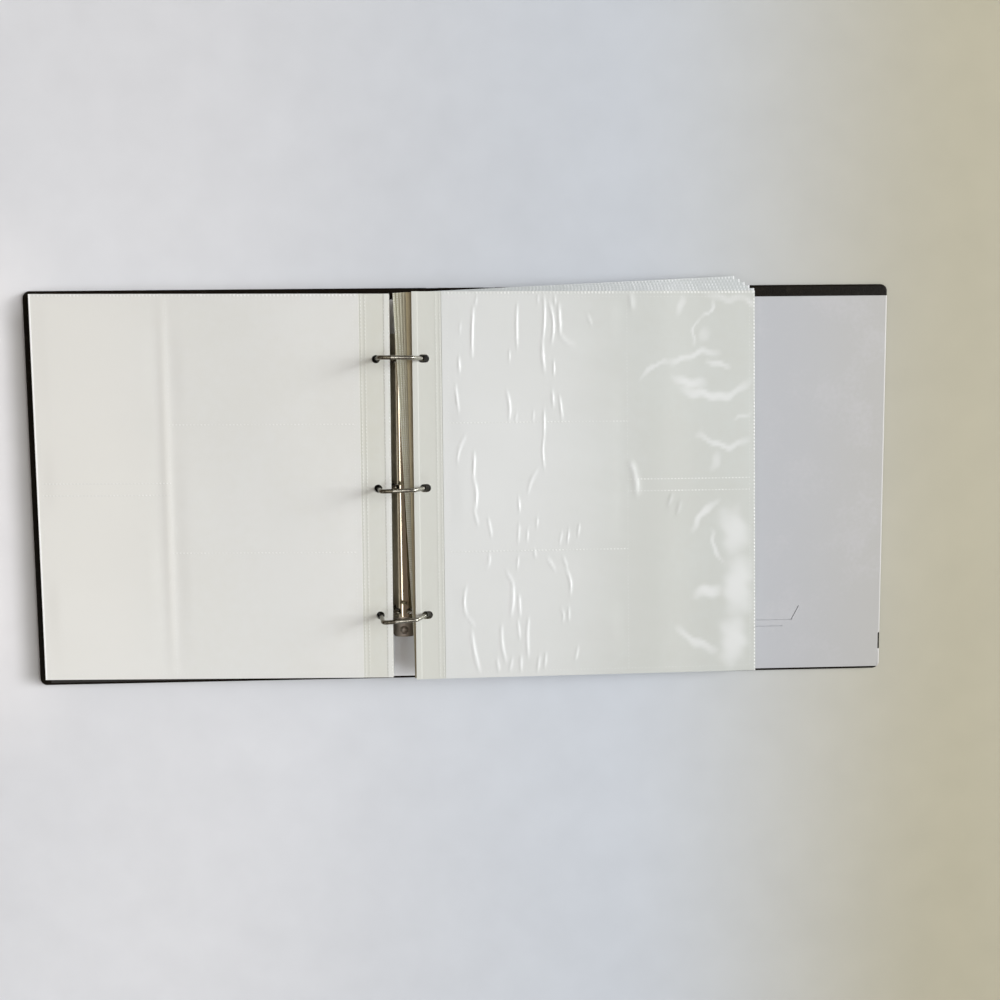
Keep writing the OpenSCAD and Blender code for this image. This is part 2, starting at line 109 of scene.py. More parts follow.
class ShaderBench:
    """Lays nodes into one node tree with short calls."""

    def __init__(self, tree: bpy.types.NodeTree) -> None:
        """Keeps the tree that the nodes go into."""
        self.tree = tree

    def add(self, kind: str, **settings: Any) -> bpy.types.Node:
        """Adds a node.

        Args:
            kind: Blender's type name of the node.
            settings: Properties of the node and their values.

        Returns:
            The new node.
        """
        node = self.tree.nodes.new(kind)
        for name, value in settings.items():
            setattr(node, name, value)
        return node

    def feed(self, socket: Socket, value: Any) -> None:
        """Links an output to a socket, or sets the socket's own value.

        Args:
            socket: The input socket.
            value: An output socket, or a plain value.
        """
        if isinstance(value, Socket):
            self.tree.links.new(value, socket)
        else:
            socket.default_value = value

    def node(self, kind: str, inputs: dict[Any, Any], output: Any = 0, **settings: Any) -> Socket:
        """Adds a node and feeds its inputs.

        Args:
            kind: Blender's type name of the node.
            inputs: Values or outputs, by the name or the number of the input.
            output: Name or number of the output that is wanted.
            settings: Properties of the node and their values.

        Returns:
            The wanted output.
        """
        node = self.add(kind, **settings)
        for name, value in inputs.items():
            self.feed(node.inputs[name], value)
        return node.outputs[output]

    def math(self, operation: str, first: Any, second: Any = 0.0) -> Socket:
        """One step of arithmetic on two values or outputs."""
        return self.node("ShaderNodeMath", {0: first, 1: second}, operation=operation)

    def times(self, first: Any, second: Any) -> Socket:
        """The product of two values or outputs."""
        return self.math("MULTIPLY", first, second)

    def apart(self, first: Any, second: Any) -> Socket:
        """How far two values or outputs lie apart."""
        return self.math("ABSOLUTE", self.math("SUBTRACT", first, second))

    def stored(self, name: str) -> Socket:
        """The value of an attribute that a piece stores, 0 where it has none."""
        return self.node("ShaderNodeAttribute", {}, "Fac", attribute_name=name)

    def mix(self, share: Any, first: Any, second: Any, kind: str = "MIX") -> Socket:
        """A share of the second colour laid over the first, blended as the kind says."""
        return self.node("ShaderNodeMix", {"Factor": share, 6: first, 7: second}, 2,
                         data_type="RGBA", blend_type=kind)

    def span(self, value: Any, low: Any, high: Any, to_low: float = 0.0,
             to_high: float = 1.0) -> Socket:
        """The range from low to high mapped onto another, with soft ends."""
        ends = {"From Min": low, "From Max": high, "To Min": to_low, "To Max": to_high}
        return self.node("ShaderNodeMapRange", {"Value": value, **ends}, "Result",
                         interpolation_type="SMOOTHSTEP")

    def noise(self, place: Any, scale: Any, detail: float = 2.0) -> Socket:
        """Soft noise between 0 and 1, with so many cells in a unit and octaves of detail."""
        inputs = {"Vector": place, "Scale": scale, "Detail": detail}
        return self.node("ShaderNodeTexNoise", inputs, "Fac")

    def cells(self, place: Any, scale: Any) -> Socket:
        """Distance from the middle of a pebble, with so many pebbles in a unit."""
        return self.node("ShaderNodeTexVoronoi", {"Vector": place, "Scale": scale}, "Distance")

    def stretch(self, place: Any, scale: Point) -> Socket:
        """Coordinates multiplied along each axis."""
        return self.node("ShaderNodeMapping", {"Vector": place, "Scale": scale}, "Vector")

    def split(self, vector: Any) -> tuple[Socket, ...]:
        """The three parts of a vector."""
        return tuple(self.node("ShaderNodeSeparateXYZ", {0: vector}).node.outputs)

    def bump(self, height: Any, distance: float, strength: float = 1.0,
             normal: Any = None) -> Socket:
        """A normal raised by a height.

        Args:
            height: Height between 0 and 1.
            distance: Depth of the relief in metres.
            strength: Share of the relief that shows.
            normal: A normal to start from.

        Returns:
            The normal's output.
        """
        inputs = {"Height": height, "Distance": distance, "Strength": strength}
        if normal is not None:
            inputs["Normal"] = normal
        return self.node("ShaderNodeBump", inputs, "Normal")

    def effect(self, group: bpy.types.NodeTree, **values: Any) -> Sockets:
        """The outputs of a shared effect, which is given its inputs by name."""
        return self.node("ShaderNodeGroup", values, node_tree=group).node.outputs


class Effects:
    """The effects that several finishes share, each a node group built once."""

    def __init__(self) -> None:
        """Builds every effect."""
        self.mottle = self._mottle()
        self.weld = self._weld()
        self.drawn = self._drawn()

    @staticmethod
    def _group(name: str, inputs: dict[str, str],
               outputs: list[str]) -> tuple[ShaderBench, dict, dict]:
        """Starts a node group.

        Args:
            name: The group's name.
            inputs: Input names and their socket types.
            outputs: Names of the value outputs.

        Returns:
            A bench on the group's tree, its input sockets and its output sockets.
        """
        tree = bpy.data.node_groups.new(name, "ShaderNodeTree")
        for label, kind in inputs.items():
            tree.interface.new_socket(label, in_out="INPUT", socket_type=kind)
        for label in outputs:
            tree.interface.new_socket(label, in_out="OUTPUT", socket_type="NodeSocketFloat")
        start = tree.nodes.new("NodeGroupInput")
        end = tree.nodes.new("NodeGroupOutput")
        return (ShaderBench(tree), {k: start.outputs[k] for k in inputs},
                {k: end.inputs[k] for k in outputs})

    def _mottle(self) -> bpy.types.NodeTree:
        """Faint clouds and specks, as paper, plastic and hide have.

        Returns:
            The node group, whose Value is about 1.
        """
        bench, given, out = self._group(
            "mottle",
            {"Vector": "NodeSocketVector", "Scale": "NodeSocketFloat",
             "Contrast": "NodeSocketFloat"}, ["Value"])
        cloud_detail, cloud_share = 3.0, 0.7
        speck_scale, speck_share = 14.0, 0.3
        clouds = bench.noise(given["Vector"], given["Scale"], cloud_detail)
        specks = bench.noise(given["Vector"], bench.times(given["Scale"], speck_scale))
        both = bench.math("ADD", bench.times(clouds, cloud_share),
                          bench.times(specks, speck_share))
        swing = bench.times(bench.math("SUBTRACT", both, 0.5), given["Contrast"])
        bench.feed(out["Value"], bench.math("ADD", swing, 1.0))
        return bench.tree

    def _weld(self) -> bpy.types.NodeTree:
        """One dotted weld line, as a heated wheel presses into film.

        Returns:
            The node group, whose Groove is the strength along the line and whose Dots is the
            strength on a dot.
        """
        names = ["Across", "Along", "Place", "Width", "Pitch", "Start", "End", "Strength"]
        bench, given, out = self._group("weld_line", {n: "NodeSocketFloat" for n in names},
                                        ["Groove", "Dots"])
        core_share = 0.4
        dot_span = (-0.4, 0.5)
        half = bench.times(given["Width"], 0.5)
        off = bench.apart(given["Across"], given["Place"])
        line = bench.span(off, half, bench.times(half, core_share))
        turn = bench.times(bench.math("DIVIDE", given["Along"], given["Pitch"]), 2 * math.pi)
        dots = bench.span(bench.math("COSINE", turn), *dot_span)
        inside = bench.times(bench.math("GREATER_THAN", given["Along"], given["Start"]),
                             bench.math("LESS_THAN", given["Along"], given["End"]))
        groove = bench.times(bench.times(line, inside), given["Strength"])
        bench.feed(out["Groove"], groove)
        bench.feed(out["Dots"], bench.times(groove, dots))
        return bench.tree

    def _drawn(self) -> bpy.types.NodeTree:
        """Fine lines and spots of metal that was rolled or drawn.

        Returns:
            The node group, whose Value is between 0 and 1.
        """
        bench, given, out = self._group(
            "drawn_metal", {"Vector": "NodeSocketVector", "Scale": "NodeSocketFloat"}, ["Value"])
        line_detail, line_share = 4.0, 0.55
        spot_scale, spot_share = 0.12, 0.45
        lines = bench.noise(given["Vector"], given["Scale"], line_detail)
        spots = bench.noise(given["Vector"], bench.times(given["Scale"], spot_scale))
        both = bench.math("ADD", bench.times(lines, line_share), bench.times(spots, spot_share))
        bench.feed(out["Value"], both)
        return bench.tree


class FinishBench(ShaderBench):
    """A bench on the tree of a new material."""

    def __init__(self, material: Material, effects: Effects) -> None:
        """Finds the material's shader and the piece's own coordinates.

        Args:
            material: The material.
            effects: The shared effects.
        """
        material.use_nodes = True
        super().__init__(material.node_tree)
        self.effects = effects
        self.shader = material.node_tree.nodes["Principled BSDF"].inputs
        self.place = self.add("ShaderNodeTexCoord").outputs["Object"]

    def show(self, **values: Any) -> None:
        """Feeds the shader's inputs by name, with spaces written as underscores."""
        for name, value in values.items():
            self.feed(self.shader[name.replace("_", " ")], value)

    def tone(self, scale: float, contrast: float) -> Socket:
        """The mottle, about 1, with so many clouds in a metre and so wide a swing."""
        inputs = {"Vector": self.place, "Scale": scale, "Contrast": contrast}
        return self.effect(self.effects.mottle, **inputs)["Value"]

    def layers(self, colour: Any, *layers: tuple[Any, Colour]) -> Any:
        """Lays colours over a colour, one after the other.

        Args:
            colour: The lowest colour.
            layers: The share of each further colour, with the colour.

        Returns:
            The output of the last mix.
        """
        for share, layer in layers:
            colour = self.mix(share, colour, layer)
        return colour


class Finish(ABC):
    """A finish that lays its nodes into a material of its own."""

    name: str

    def material(self, effects: Effects) -> Material:
        """Makes the finish.

        Args:
            effects: The shared effects.

        Returns:
            The material.
        """
        material = bpy.data.materials.new(self.name)
        self.lay(FinishBench(material, effects))
        return material

    @abstractmethod
    def lay(self, bench: FinishBench) -> None:
        """Lays the finish's nodes.

        Args:
            bench: A bench on the material's tree.
        """


@dataclass(frozen=True)
class Leatherette(Finish):
    """Black embossed leatherette, a little worn along the covers' edges."""

    name: str = "leatherette"
    colour: Colour = rgb(0.0085, 0.006, 0.0033)
    crease_colour: Colour = rgb(0.004, 0.003, 0.0018)
    wear_and_shade_colour: Colour = rgb(0.034, 0.028, 0.02)
    worn_share: float = 0.35
    worn_scale: float = 120.0
    wander_scale: float = 260.0
    pebbles_per_metre: float = 900.0
    relief: float = 0.00012
    sheen: float = 0.06
    mottle: Span = (40.0, 0.9)
    valley_span: Span = (0.35, 0.75)
    worn_span: Span = (0.6, 0.74)
    worn_detail: float = 5.0
    wander_share: float = 0.4
    roughness: Span = (0.42, 0.6)
    bump_share: float = 0.7

    def lay(self, bench: FinishBench) -> None:
        """Lays pebbles with dark valleys between them, worn patches and a mottle.

        Args:
            bench: A bench on the material's tree.
        """
        wander = bench.noise(bench.place, self.wander_scale)
        pebbles = bench.cells(bench.place, self.pebbles_per_metre)
        valleys = bench.span(pebbles, *self.valley_span)
        patches = bench.noise(bench.place, self.worn_scale, self.worn_detail)
        worn_and_shaded = bench.span(patches, *self.worn_span)
        aged = bench.layers(self.colour, (valleys, self.crease_colour),
                            (bench.times(worn_and_shaded, self.worn_share), self.wear_and_shade_colour))
        height = bench.math("SUBTRACT", bench.times(wander, self.wander_share), valleys)
        bench.show(Base_Color=bench.mix(1.0, aged, bench.tone(*self.mottle), "MULTIPLY"),
                   Roughness=bench.span(wander, *NOISE_CORE, *self.roughness),
                   Normal=bench.bump(height, self.relief, self.bump_share),
                   Specular_IOR_Level=self.sheen)


@dataclass(frozen=True)
class GreyBoard(Finish):
    """Raw grey board, flecked with fibres."""

    name: str = "grey_board"
    colour: Colour = rgb(0.2, 0.18, 0.155)
    fleck_colour: Colour = rgb(0.33, 0.3, 0.26)
    relief: float = 0.0001
    roughness: float = 0.9
    mottle: Span = (90.0, 1.2)
    fleck_span: Span = (0.9, 1.15)
    bump_share: float = 0.5

    def lay(self, bench: FinishBench) -> None:
        """Lays the flecks, a little raised."""
        flecks = bench.span(bench.tone(*self.mottle), *self.fleck_span)
        bench.show(Base_Color=bench.mix(flecks, self.colour, self.fleck_colour),
                   Normal=bench.bump(flecks, self.relief, self.bump_share),
                   Roughness=self.roughness)


@dataclass(frozen=True)
class LiningPaper(Finish):
    """Smooth lilac-white lining paper, painted greyer and darker on the front cover and warmer and
    darker still at its fore edge, as painted shade where the light falls off.

    Under the tail of the leaves on the back cover the leatherette shows through, bare. Where the
    lining shows only down their punched holes it is painted as dark, as painted shade.
    """

    name: str = "lining_paper"
    colour: Colour = rgb(0.82, 0.83, 0.85)
    # The front cover's part is painted darker, the more so at its fore edge: painted shade where the
    # light falls off.
    front_colour: Colour = rgb(0.434, 0.446, 0.47)
    warm_colour: Colour = rgb(0.418, 0.414, 0.4)
    grubby_colour: Colour = rgb(0.5, 0.5, 0.52)
    # Colour of the bare leatherette at the tail, also painted under the holes as shade.
    bare_and_shade_colour: Colour = rgb(0.0085, 0.006, 0.0033)
    bare_inner: float = -0.075
    bare_tail: float = -0.159
    hole_inset: float = 0.0105
    hole_pitch: float = 0.108
    hole_reach: float = 0.007
    fibres_per_metre: float = 2600.0
    relief: float = 0.00003
    front_span: Span = (-0.02, 0.22)
    warm_span: Span = (0.26, 0.38)
    mottle: Span = (22.0, 0.9)
    grubby_span: Span = (1.02, 0.8)
    grubby_share: float = 0.35
    fibre_pull: Point = (1.0, 0.35, 1.0)
    fibre_detail: float = 3.0
    roughness: Span = (0.5, 0.68)
    bump_share: float = 0.5

    def _bare_and_shaded(self, bench: FinishBench, across: Socket, along: Socket) -> Socket:
        """Finds the dark places: the bare tail, and the painted shade under the holes.

        Args:
            bench: A bench on the material's tree.
            across: Places from the back cover to the front cover.
            along: Places from tail to head.

        Returns:
            An output that is 1 on the dark places.
        """
        tail = bench.times(bench.math("LESS_THAN", across, self.bare_inner),
                           bench.math("LESS_THAN", along, self.bare_tail))
        # Painted shade on the lining under the punched holes of the leaves on the back cover.
        hole_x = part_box("left_leaf_5_strip")[1].x - self.hole_inset
        off_middle = bench.math("ABSOLUTE", along)
        off_ring = bench.math("MINIMUM", off_middle, bench.apart(off_middle, self.hole_pitch))
        far = bench.math("MAXIMUM", bench.apart(across, hole_x), off_ring)
        return bench.math("MAXIMUM", tail, bench.math("LESS_THAN", far, self.hole_reach))

    def lay(self, bench: FinishBench) -> None:
        """Lays the paper's colours, its bare tail, the painted shade under its holes and its fibres.

        Args:
            bench: A bench on the material's tree.
        """
        across, along, _ = bench.split(bench.place)
        tone = bench.tone(*self.mottle)
        grubby = bench.span(tone, *self.grubby_span, 0.0, self.grubby_share)
        colour = bench.layers(self.colour,
                              (bench.span(across, *self.front_span), self.front_colour),
                              (bench.span(across, *self.warm_span), self.warm_colour),
                              (grubby, self.grubby_colour),
                              (self._bare_and_shaded(bench, across, along), self.bare_and_shade_colour))
        grain = bench.stretch(bench.place, self.fibre_pull)
        fibres = bench.noise(grain, self.fibres_per_metre, self.fibre_detail)
        bench.show(Base_Color=colour,
                   Roughness=bench.span(fibres, *NOISE_CORE, *self.roughness),
                   Normal=bench.bump(fibres, self.relief, self.bump_share))


@dataclass(frozen=True)
class Nickel(Finish):
    """Bright nickel plating with fine drawing lines and dull spots, painted darker and made rougher
    at the tail end as painted shade.
    """

    name: str
    colour: Colour
    dull_colour: Colour
    way: Way
    shine: Span = (0.1, 0.24)
    lines_per_metre: float = 1800.0
    relief: float = 0.00001
    # Past this height the plating is painted darker and made rougher, as painted shade at the tail
    # end.
    worn_and_shaded_tail: float = -1.0
    shaded_tail_fade: float = 0.001
    shaded_tail_roughness: float = 0.4
    wear_and_shade_colour: Colour = rgb(0.3, 0.26, 0.22)
    rolled_pull: Point = (1.0, 0.03, 1.0)
    dull_span: Span = (0.42, 0.66)
    shine_span: Span = (0.35, 0.7)
    bump_share: float = 0.6

    def lay(self, bench: FinishBench) -> None:
        """Lays the plating, its drawing lines and its painted shade at the tail end.

        Args:
            bench: A bench on the material's tree.
        """
        pull = self.rolled_pull if self.way is Way.LENGTHWISE else (1.0, 1.0, 1.0)
        drawn = bench.effect(bench.effects.drawn, Vector=bench.stretch(bench.place, pull),
                             Scale=self.lines_per_metre)["Value"]
        along = bench.split(bench.place)[1]
        # Painted shade at the tail end: a darker colour and more roughness.
        worn_and_shaded = bench.span(along, self.worn_and_shaded_tail + self.shaded_tail_fade, self.worn_and_shaded_tail - self.shaded_tail_fade)
        dull = bench.span(drawn, *self.dull_span)
        colour = bench.layers(self.colour, (dull, self.dull_colour), (worn_and_shaded, self.wear_and_shade_colour))
        polish = bench.span(drawn, *self.shine_span, *self.shine)
        dulled = bench.math("ADD", polish, bench.times(worn_and_shaded, self.shaded_tail_roughness))
        bench.show(Base_Color=colour, Roughness=dulled,
                   Normal=bench.bump(drawn, self.relief, self.bump_share), Metallic=1.0)


@dataclass(frozen=True)
class WeldLine:
    """One dotted weld, in millimetres on a leaf's face.

    A line across the leaf keeps one height, a line along it one distance from the strip.
    """

    along_leaf: bool
    place_mm: float
    start_mm: float
    end_mm: float
    width_mm: float = 1.4
    dotted: bool = True
    strength: float = 0.5


@dataclass(frozen=True)
class PocketFilm(Finish):
    """Off-white pocket leaf under clear film, with its dotted welds.

    Where one stored attribute is 1 the film is painted paler, as painted light: broad paler
    stretches, painted reflections in its waves and painted highlights along its creases. Where
    another is 1, on the walls of the punched holes, it is painted dark as shade.
    """

    name: str
    width_mm: float
    height_mm: float
    welds: tuple[WeldLine, ...]
    # These are the clear film's colours, painted darker than the matt film's as painted shade where
    # the light falls off to the right.
    colour: Colour = rgb(0.513, 0.536, 0.512)
    cloud_colour: Colour = rgb(0.501, 0.518, 0.489)
    groove_colour: Colour = rgb(0.58, 0.6, 0.58)
    dot_colour: Colour = rgb(0.87, 0.88, 0.87)
    # Colour of the light painted on the film.
    painted_light_colour: Colour = rgb(0.715, 0.73, 0.73)
    # Painted shade on the walls of the punched holes.
    hole_colour: Colour = rgb(0.05, 0.045, 0.035)
    gloss: float = 1.0
    gloss_roughness: float = 0.14
    gloss_ior: float = 1.49
    pitch_mm: float = 3.0
    weld_depth: float = 0.0002
    grain_per_metre: float = 700.0
    grain_depth: float = 0.000015
    mottle: Span = (9.0, 1.1)
    cloud_span: Span = (0.85, 1.15)
    groove_share: float = 0.7
    dot_share: float = 0.9
    breaks_per_metre: float = 90.0
    break_span: Span = (0.4, 0.6)
    broken_low: float = 0.35
    grain_pull: Point = (1.0, 0.2, 1.0)
    roughness: Span = (0.42, 0.56)
    weld_bump: float = 0.8
    grain_bump: float = 0.4

    def _press(self, bench: FinishBench) -> tuple[Any, Any]:
        """Lays every weld of the leaf.

        Args:
            bench: A bench on the material's tree.

        Returns:
            The strength of the grooves and that of the dots in them.
        """
        face = bench.add("ShaderNodeTexCoord").outputs["UV"]
        out, up, _ = bench.split(bench.stretch(face, (self.width_mm, self.height_mm, 1.0)))
        breaks = bench.noise(bench.place, self.breaks_per_metre)
        broken = bench.span(breaks, *self.break_span, self.broken_low)
        grooves: Any = 0.0
        dots: Any = 0.0
        for weld in self.welds:
            across, along = (out, up) if weld.along_leaf else (up, out)
            line = bench.effect(bench.effects.weld, Across=across, Along=along,
                                Place=weld.place_mm, Width=weld.width_mm, Pitch=self.pitch_mm,
                                Start=weld.start_mm, End=weld.end_mm, Strength=weld.strength)
            mark = bench.times(line["Dots"], broken) if weld.dotted else line["Groove"]
            grooves = bench.math("MAXIMUM", line["Groove"], grooves)
            dots = bench.math("MAXIMUM", mark, dots)
        return grooves, dots

    def lay(self, bench: FinishBench) -> None:
        """Lays the clouded sheet, its painted light, its welds and the painted shade in its holes
        under a glossy coat.

        Args:
            bench: A bench on the material's tree.
        """
        grooves, dots = self._press(bench)
        clouds = bench.span(bench.tone(*self.mottle), *self.cloud_span)
        colour = bench.layers(self.colour, (clouds, self.cloud_colour),
                              (bench.stored("painted_light"), self.painted_light_colour),
                              (bench.times(grooves, self.groove_share), self.groove_colour),
                              (bench.times(dots, self.dot_share), self.dot_colour),
                              (bench.stored("hole"), self.hole_colour))
        grain = bench.noise(bench.stretch(bench.place, self.grain_pull), self.grain_per_metre)
        pressed = bench.bump(dots, self.weld_depth, self.weld_bump)
        bench.show(Base_Color=colour,
                   Roughness=bench.span(grain, *NOISE_CORE, *self.roughness),
                   Normal=bench.bump(grain, self.grain_depth, self.grain_bump, pressed),
                   Coat_Weight=self.gloss, Coat_Roughness=self.gloss_roughness,
                   Coat_IOR=self.gloss_ior)


@dataclass(frozen=True)
class StagePaper(Finish):
    """Plain pale surface under the album, creamy on the right.

    It is palest on the left, with a painted pool of light there, and darker towards the right as
    painted shade where the light falls off; close beside the back cover lies a warm painted shadow.
    """

    name: str = "stage_paper"
    pale_colour: Colour = rgb(0.68, 0.69, 0.716)
    # Towards the right the floor is painted darker and creamier; the darkening is painted shade
    # where the light falls off.
    cool_colour: Colour = rgb(0.533, 0.567, 0.615)
    warm_colour: Colour = rgb(0.414, 0.388, 0.287)
    # A painted pool of light on the floor, left of the album.
    painted_light_pool_colour: Colour = rgb(0.84, 0.83, 0.84)
    # A warm painted shadow, laid on the floor close beside the back cover.
    painted_shadow_colour: Colour = rgb(0.06, 0.045, 0.0)
    painted_shadow_width: float = 0.025
    painted_shadow_depth: float = 0.45
    roughness: float = 0.7
    mottle: Span = (2.0, 0.3)
    cool_span: Span = (-0.3, 0.15)
    warm_span: Span = (0.12, 0.46)
    pool_inner: Span = (-0.3, -0.42)
    pool_outer: Span = (-0.9, -0.5)
    pool_ends: Span = (0.28, 0.1)
    head_fade: Span = (0.005, -0.03)
    tail_fade: Span = (-0.005, 0.01)

    def _painted_shadow(self, bench: FinishBench, across: Socket, along: Socket) -> Socket:
        """Finds the painted shadow beside the back cover.

        Args:
            bench: A bench on the material's tree.
            across: Places from the back cover to the front cover.
            along: Places from tail to head.

        Returns:
            The painted shadow's strength.
        """
        low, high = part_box("back_skin")
        beside = bench.span(across, low.x - self.painted_shadow_width, low.x, 0.0, self.painted_shadow_depth)
        left = bench.times(beside, bench.math("LESS_THAN", across, high.x))
        ends = bench.times(bench.span(along, *(high.y + fade for fade in self.head_fade)),
                           bench.span(along, *(low.y + fade for fade in self.tail_fade)))
        return bench.times(left, ends)

    def lay(self, bench: FinishBench) -> None:
        """Lays the surface's colours from left to right, its painted pool of light and its painted
        shadow.

        Args:
            bench: A bench on the material's tree.
        """
        across, along, _ = bench.split(bench.place)
        # Painted pool of light, palest to the left of the album's middle.
        pool = bench.times(bench.span(across, *self.pool_inner),
                           bench.span(bench.math("ABSOLUTE", along), *self.pool_ends))
        pool = bench.times(pool, bench.span(across, *self.pool_outer))
        colour = bench.layers(self.pale_colour, (pool, self.painted_light_pool_colour),
                              (bench.span(across, *self.cool_span), self.cool_colour),
                              (bench.span(across, *self.warm_span), self.warm_colour),
                              (self._painted_shadow(bench, across, along), self.painted_shadow_colour))
        bench.show(Base_Color=bench.mix(1.0, colour, bench.tone(*self.mottle), "MULTIPLY"),
                   Roughness=self.roughness)


class Bench:
    """Modelling steps with Blender's own operators."""

    @staticmethod
    def clear() -> None:
        """Deselects everything, in object mode."""
        if bpy.context.object is not None and bpy.context.object.mode != "OBJECT":
            bpy.ops.object.mode_set(mode="OBJECT")
        bpy.ops.object.select_all(action="DESELECT")

    @classmethod
    def pick(cls, *pieces: Piece) -> None:
        """Selects some pieces alone and makes the first one active.

        Args:
            pieces: The pieces.
        """
        cls.clear()
        for piece in pieces:
            piece.select_set(True)
        bpy.context.view_layer.objects.active = pieces[0]

    @classmethod
    def grid(cls, name: str, columns: int, rows: int) -> Piece:
        """Adds a flat grid of one metre, with a UV map.

        Args:
            name: The new piece's name.
            columns: Cells along X.
            rows: Cells along Y.

        Returns:
            The new object.
        """
        cls.clear()
        bpy.ops.mesh.primitive_grid_add(x_subdivisions=columns, y_subdivisions=rows, size=1.0,
                                        calc_uvs=True, location=(0.0, 0.0, 0.0))
        piece = bpy.context.object
        piece.name = name
        piece.data.name = name
        return piece

    @staticmethod
    def points(piece: Piece) -> Array:
        """Finds the places of a piece's vertices.

        Args:
            piece: The piece.

        Returns:
            One row of coordinates for each vertex.
        """
        places = np.empty(len(piece.data.vertices) * 3)
        piece.data.vertices.foreach_get("co", places)
        return places.reshape(-1, 3)

    @staticmethod
    def move(piece: Piece, places: Array) -> None:
        """Moves a piece's vertices to new places."""
        piece.data.vertices.foreach_set("co", places.astype(np.float32).ravel())
        piece.data.update()

    @classmethod
    def apply(cls, piece: Piece, kind: str, **settings: Any) -> None:
        """Adds a modifier and applies it.

        Args:
            piece: The piece.
            kind: Blender's type name of the modifier.
            settings: The modifier's settings.
        """
        cls.pick(piece)
        modifier = piece.modifiers.new(kind.lower(), kind)
        for name, value in settings.items():
            setattr(modifier, name, value)
        bpy.ops.object.modifier_apply(modifier=modifier.name)

    @classmethod
    def smooth(cls, piece: Piece, degrees: float = 35.0) -> None:
        """Shades a piece smooth apart from edges sharper than an angle."""
        cls.pick(piece)
        bpy.ops.object.shade_smooth_by_angle(angle=math.radians(degrees))

    @staticmethod
    def dress(piece: Piece, material: Material) -> None:
        """Gives a piece one material."""
        piece.data.materials.clear()
        piece.data.materials.append(material)

    @staticmethod
    def store(piece: Piece, name: str, domain: str, values: Array) -> None:
        """Stores an attribute on a piece.

        Args:
            piece: The piece.
            name: The attribute's name.
            domain: What carries the values, as Blender names it.
            values: One value for each vertex or face.
        """
        layer = piece.data.attributes.new(name, "FLOAT", domain)
        layer.data.foreach_set("value", values.astype(np.float32))


def ease(value: Array) -> Array:
    """A soft step from 0 to 1."""
    held = np.clip(value, 0.0, 1.0)
    return held * held * (3.0 - 2.0 * held)


def wander(out_mm: Array, up_mm: Array) -> tuple[Array, Array]:
    """Moves points of a face to and fro by a millimetre or two, so that edges look torn.

    Args:
        out_mm: Distances from the strip.
        up_mm: Distances from the tail.

    Returns:
        The moved distances.
    """
    slow, fast = 1.6, 0.9
    return (out_mm + slow * np.sin(up_mm / 5.1) + fast * np.sin(up_mm / 2.3 + out_mm / 7.0),
            up_mm + slow * np.sin(out_mm / 6.3) + fast * np.sin(out_mm / 2.6))


@dataclass(frozen=True)
class Stroke:
    """A bowed line drawn on a leaf's face, in millimetres from the strip and from the tail."""

    start_out: float
    start_up: float
    end_out: float
    end_up: float
    bow: float
    width: float
    strength: float
    step: ClassVar[float] = 0.4
    reach: ClassVar[float] = 2.5

    def cover(self, out_mm: Array, up_mm: Array, power: float) -> Array:
        """How far the stroke covers points of the face.

        Args:
            out_mm: Distances from the strip.
            up_mm: Distances from the tail.
            power: How sharp the stroke's edges are, 2 for a soft bell.

        Returns:
            The stroke's strength on its middle line, fading to 0 beside it.
        """
        start = np.array([self.start_out, self.start_up])
        way = np.array([self.end_out, self.end_up]) - start
        length = float(np.hypot(*way))
        share = np.linspace(0.01, 0.99, int(length / (self.step * self.width)) + 4)[:, None]
        side = np.array([way[1], -way[0]]) / length
        line = start + way * share + 4.0 * self.bow * share * (1.0 - share) * side
        taper = np.sqrt(np.sin(np.pi * share[:, 0]))
        face = np.column_stack((out_mm, up_mm))
        reach = self.reach * self.width
        near = np.all((face > line.min(axis=0) - reach) & (face < line.max(axis=0) + reach), axis=1)
        gaps = np.linalg.norm(face[near][:, None, :] - line, axis=2) / self.width
        covered = np.zeros_like(out_mm)
        covered[near] = self.strength * (taper * np.exp(-(gaps ** power))).max(axis=1)
        return covered


@dataclass(frozen=True)
class Crease(Stroke):
    """One long soft wrinkle in a pocket's film, its strength a height in millimetres."""

    def height(self, out_mm: Array, up_mm: Array) -> Array:
        """Height of the wrinkle in millimetres over points of the face."""
        return self.cover(out_mm, up_mm, 2.0)


@dataclass(frozen=True)
class Ripple:
    """Loose, wavy film over a stretch of a leaf's face, from a few crossed waves."""

    seed: int
    low_mm: tuple[float, float]
    high_mm: tuple[float, float]
    length_mm: float
    height_mm: float
    waves: int = 7
    fade_mm: float = 14.0
    spread: Span = (0.7, 1.6)
    peak: float = 1.6

    def height(self, out_mm: Array, up_mm: Array) -> Array:
        """Height of the waves over points of the face.

        Args:
            out_mm: Distances from the strip.
            up_mm: Distances from the tail.

        Returns:
            Heights in millimetres, never under 0.
        """
        random = np.random.default_rng(self.seed)
        total = np.zeros_like(out_mm)
        for _ in range(self.waves):
            turn = random.uniform(0.0, math.pi)
            rate = 2.0 * math.pi / (self.length_mm * random.uniform(*self.spread))
            phase = random.uniform(0.0, 2.0 * math.pi)
            total += np.sin(rate * (out_mm * math.cos(turn) + up_mm * math.sin(turn)) + phase)
        fade = np.ones_like(out_mm)
        for value, low, high in ((out_mm, self.low_mm[0], self.high_mm[0]),
                                 (up_mm, self.low_mm[1], self.high_mm[1])):
            fade *= ease((value - low) / self.fade_mm) * ease((high - value) / self.fade_mm)
        swell = (0.5 + 0.5 * total / math.sqrt(self.waves)).clip(0.0, self.peak)
        return self.height_mm * fade * swell


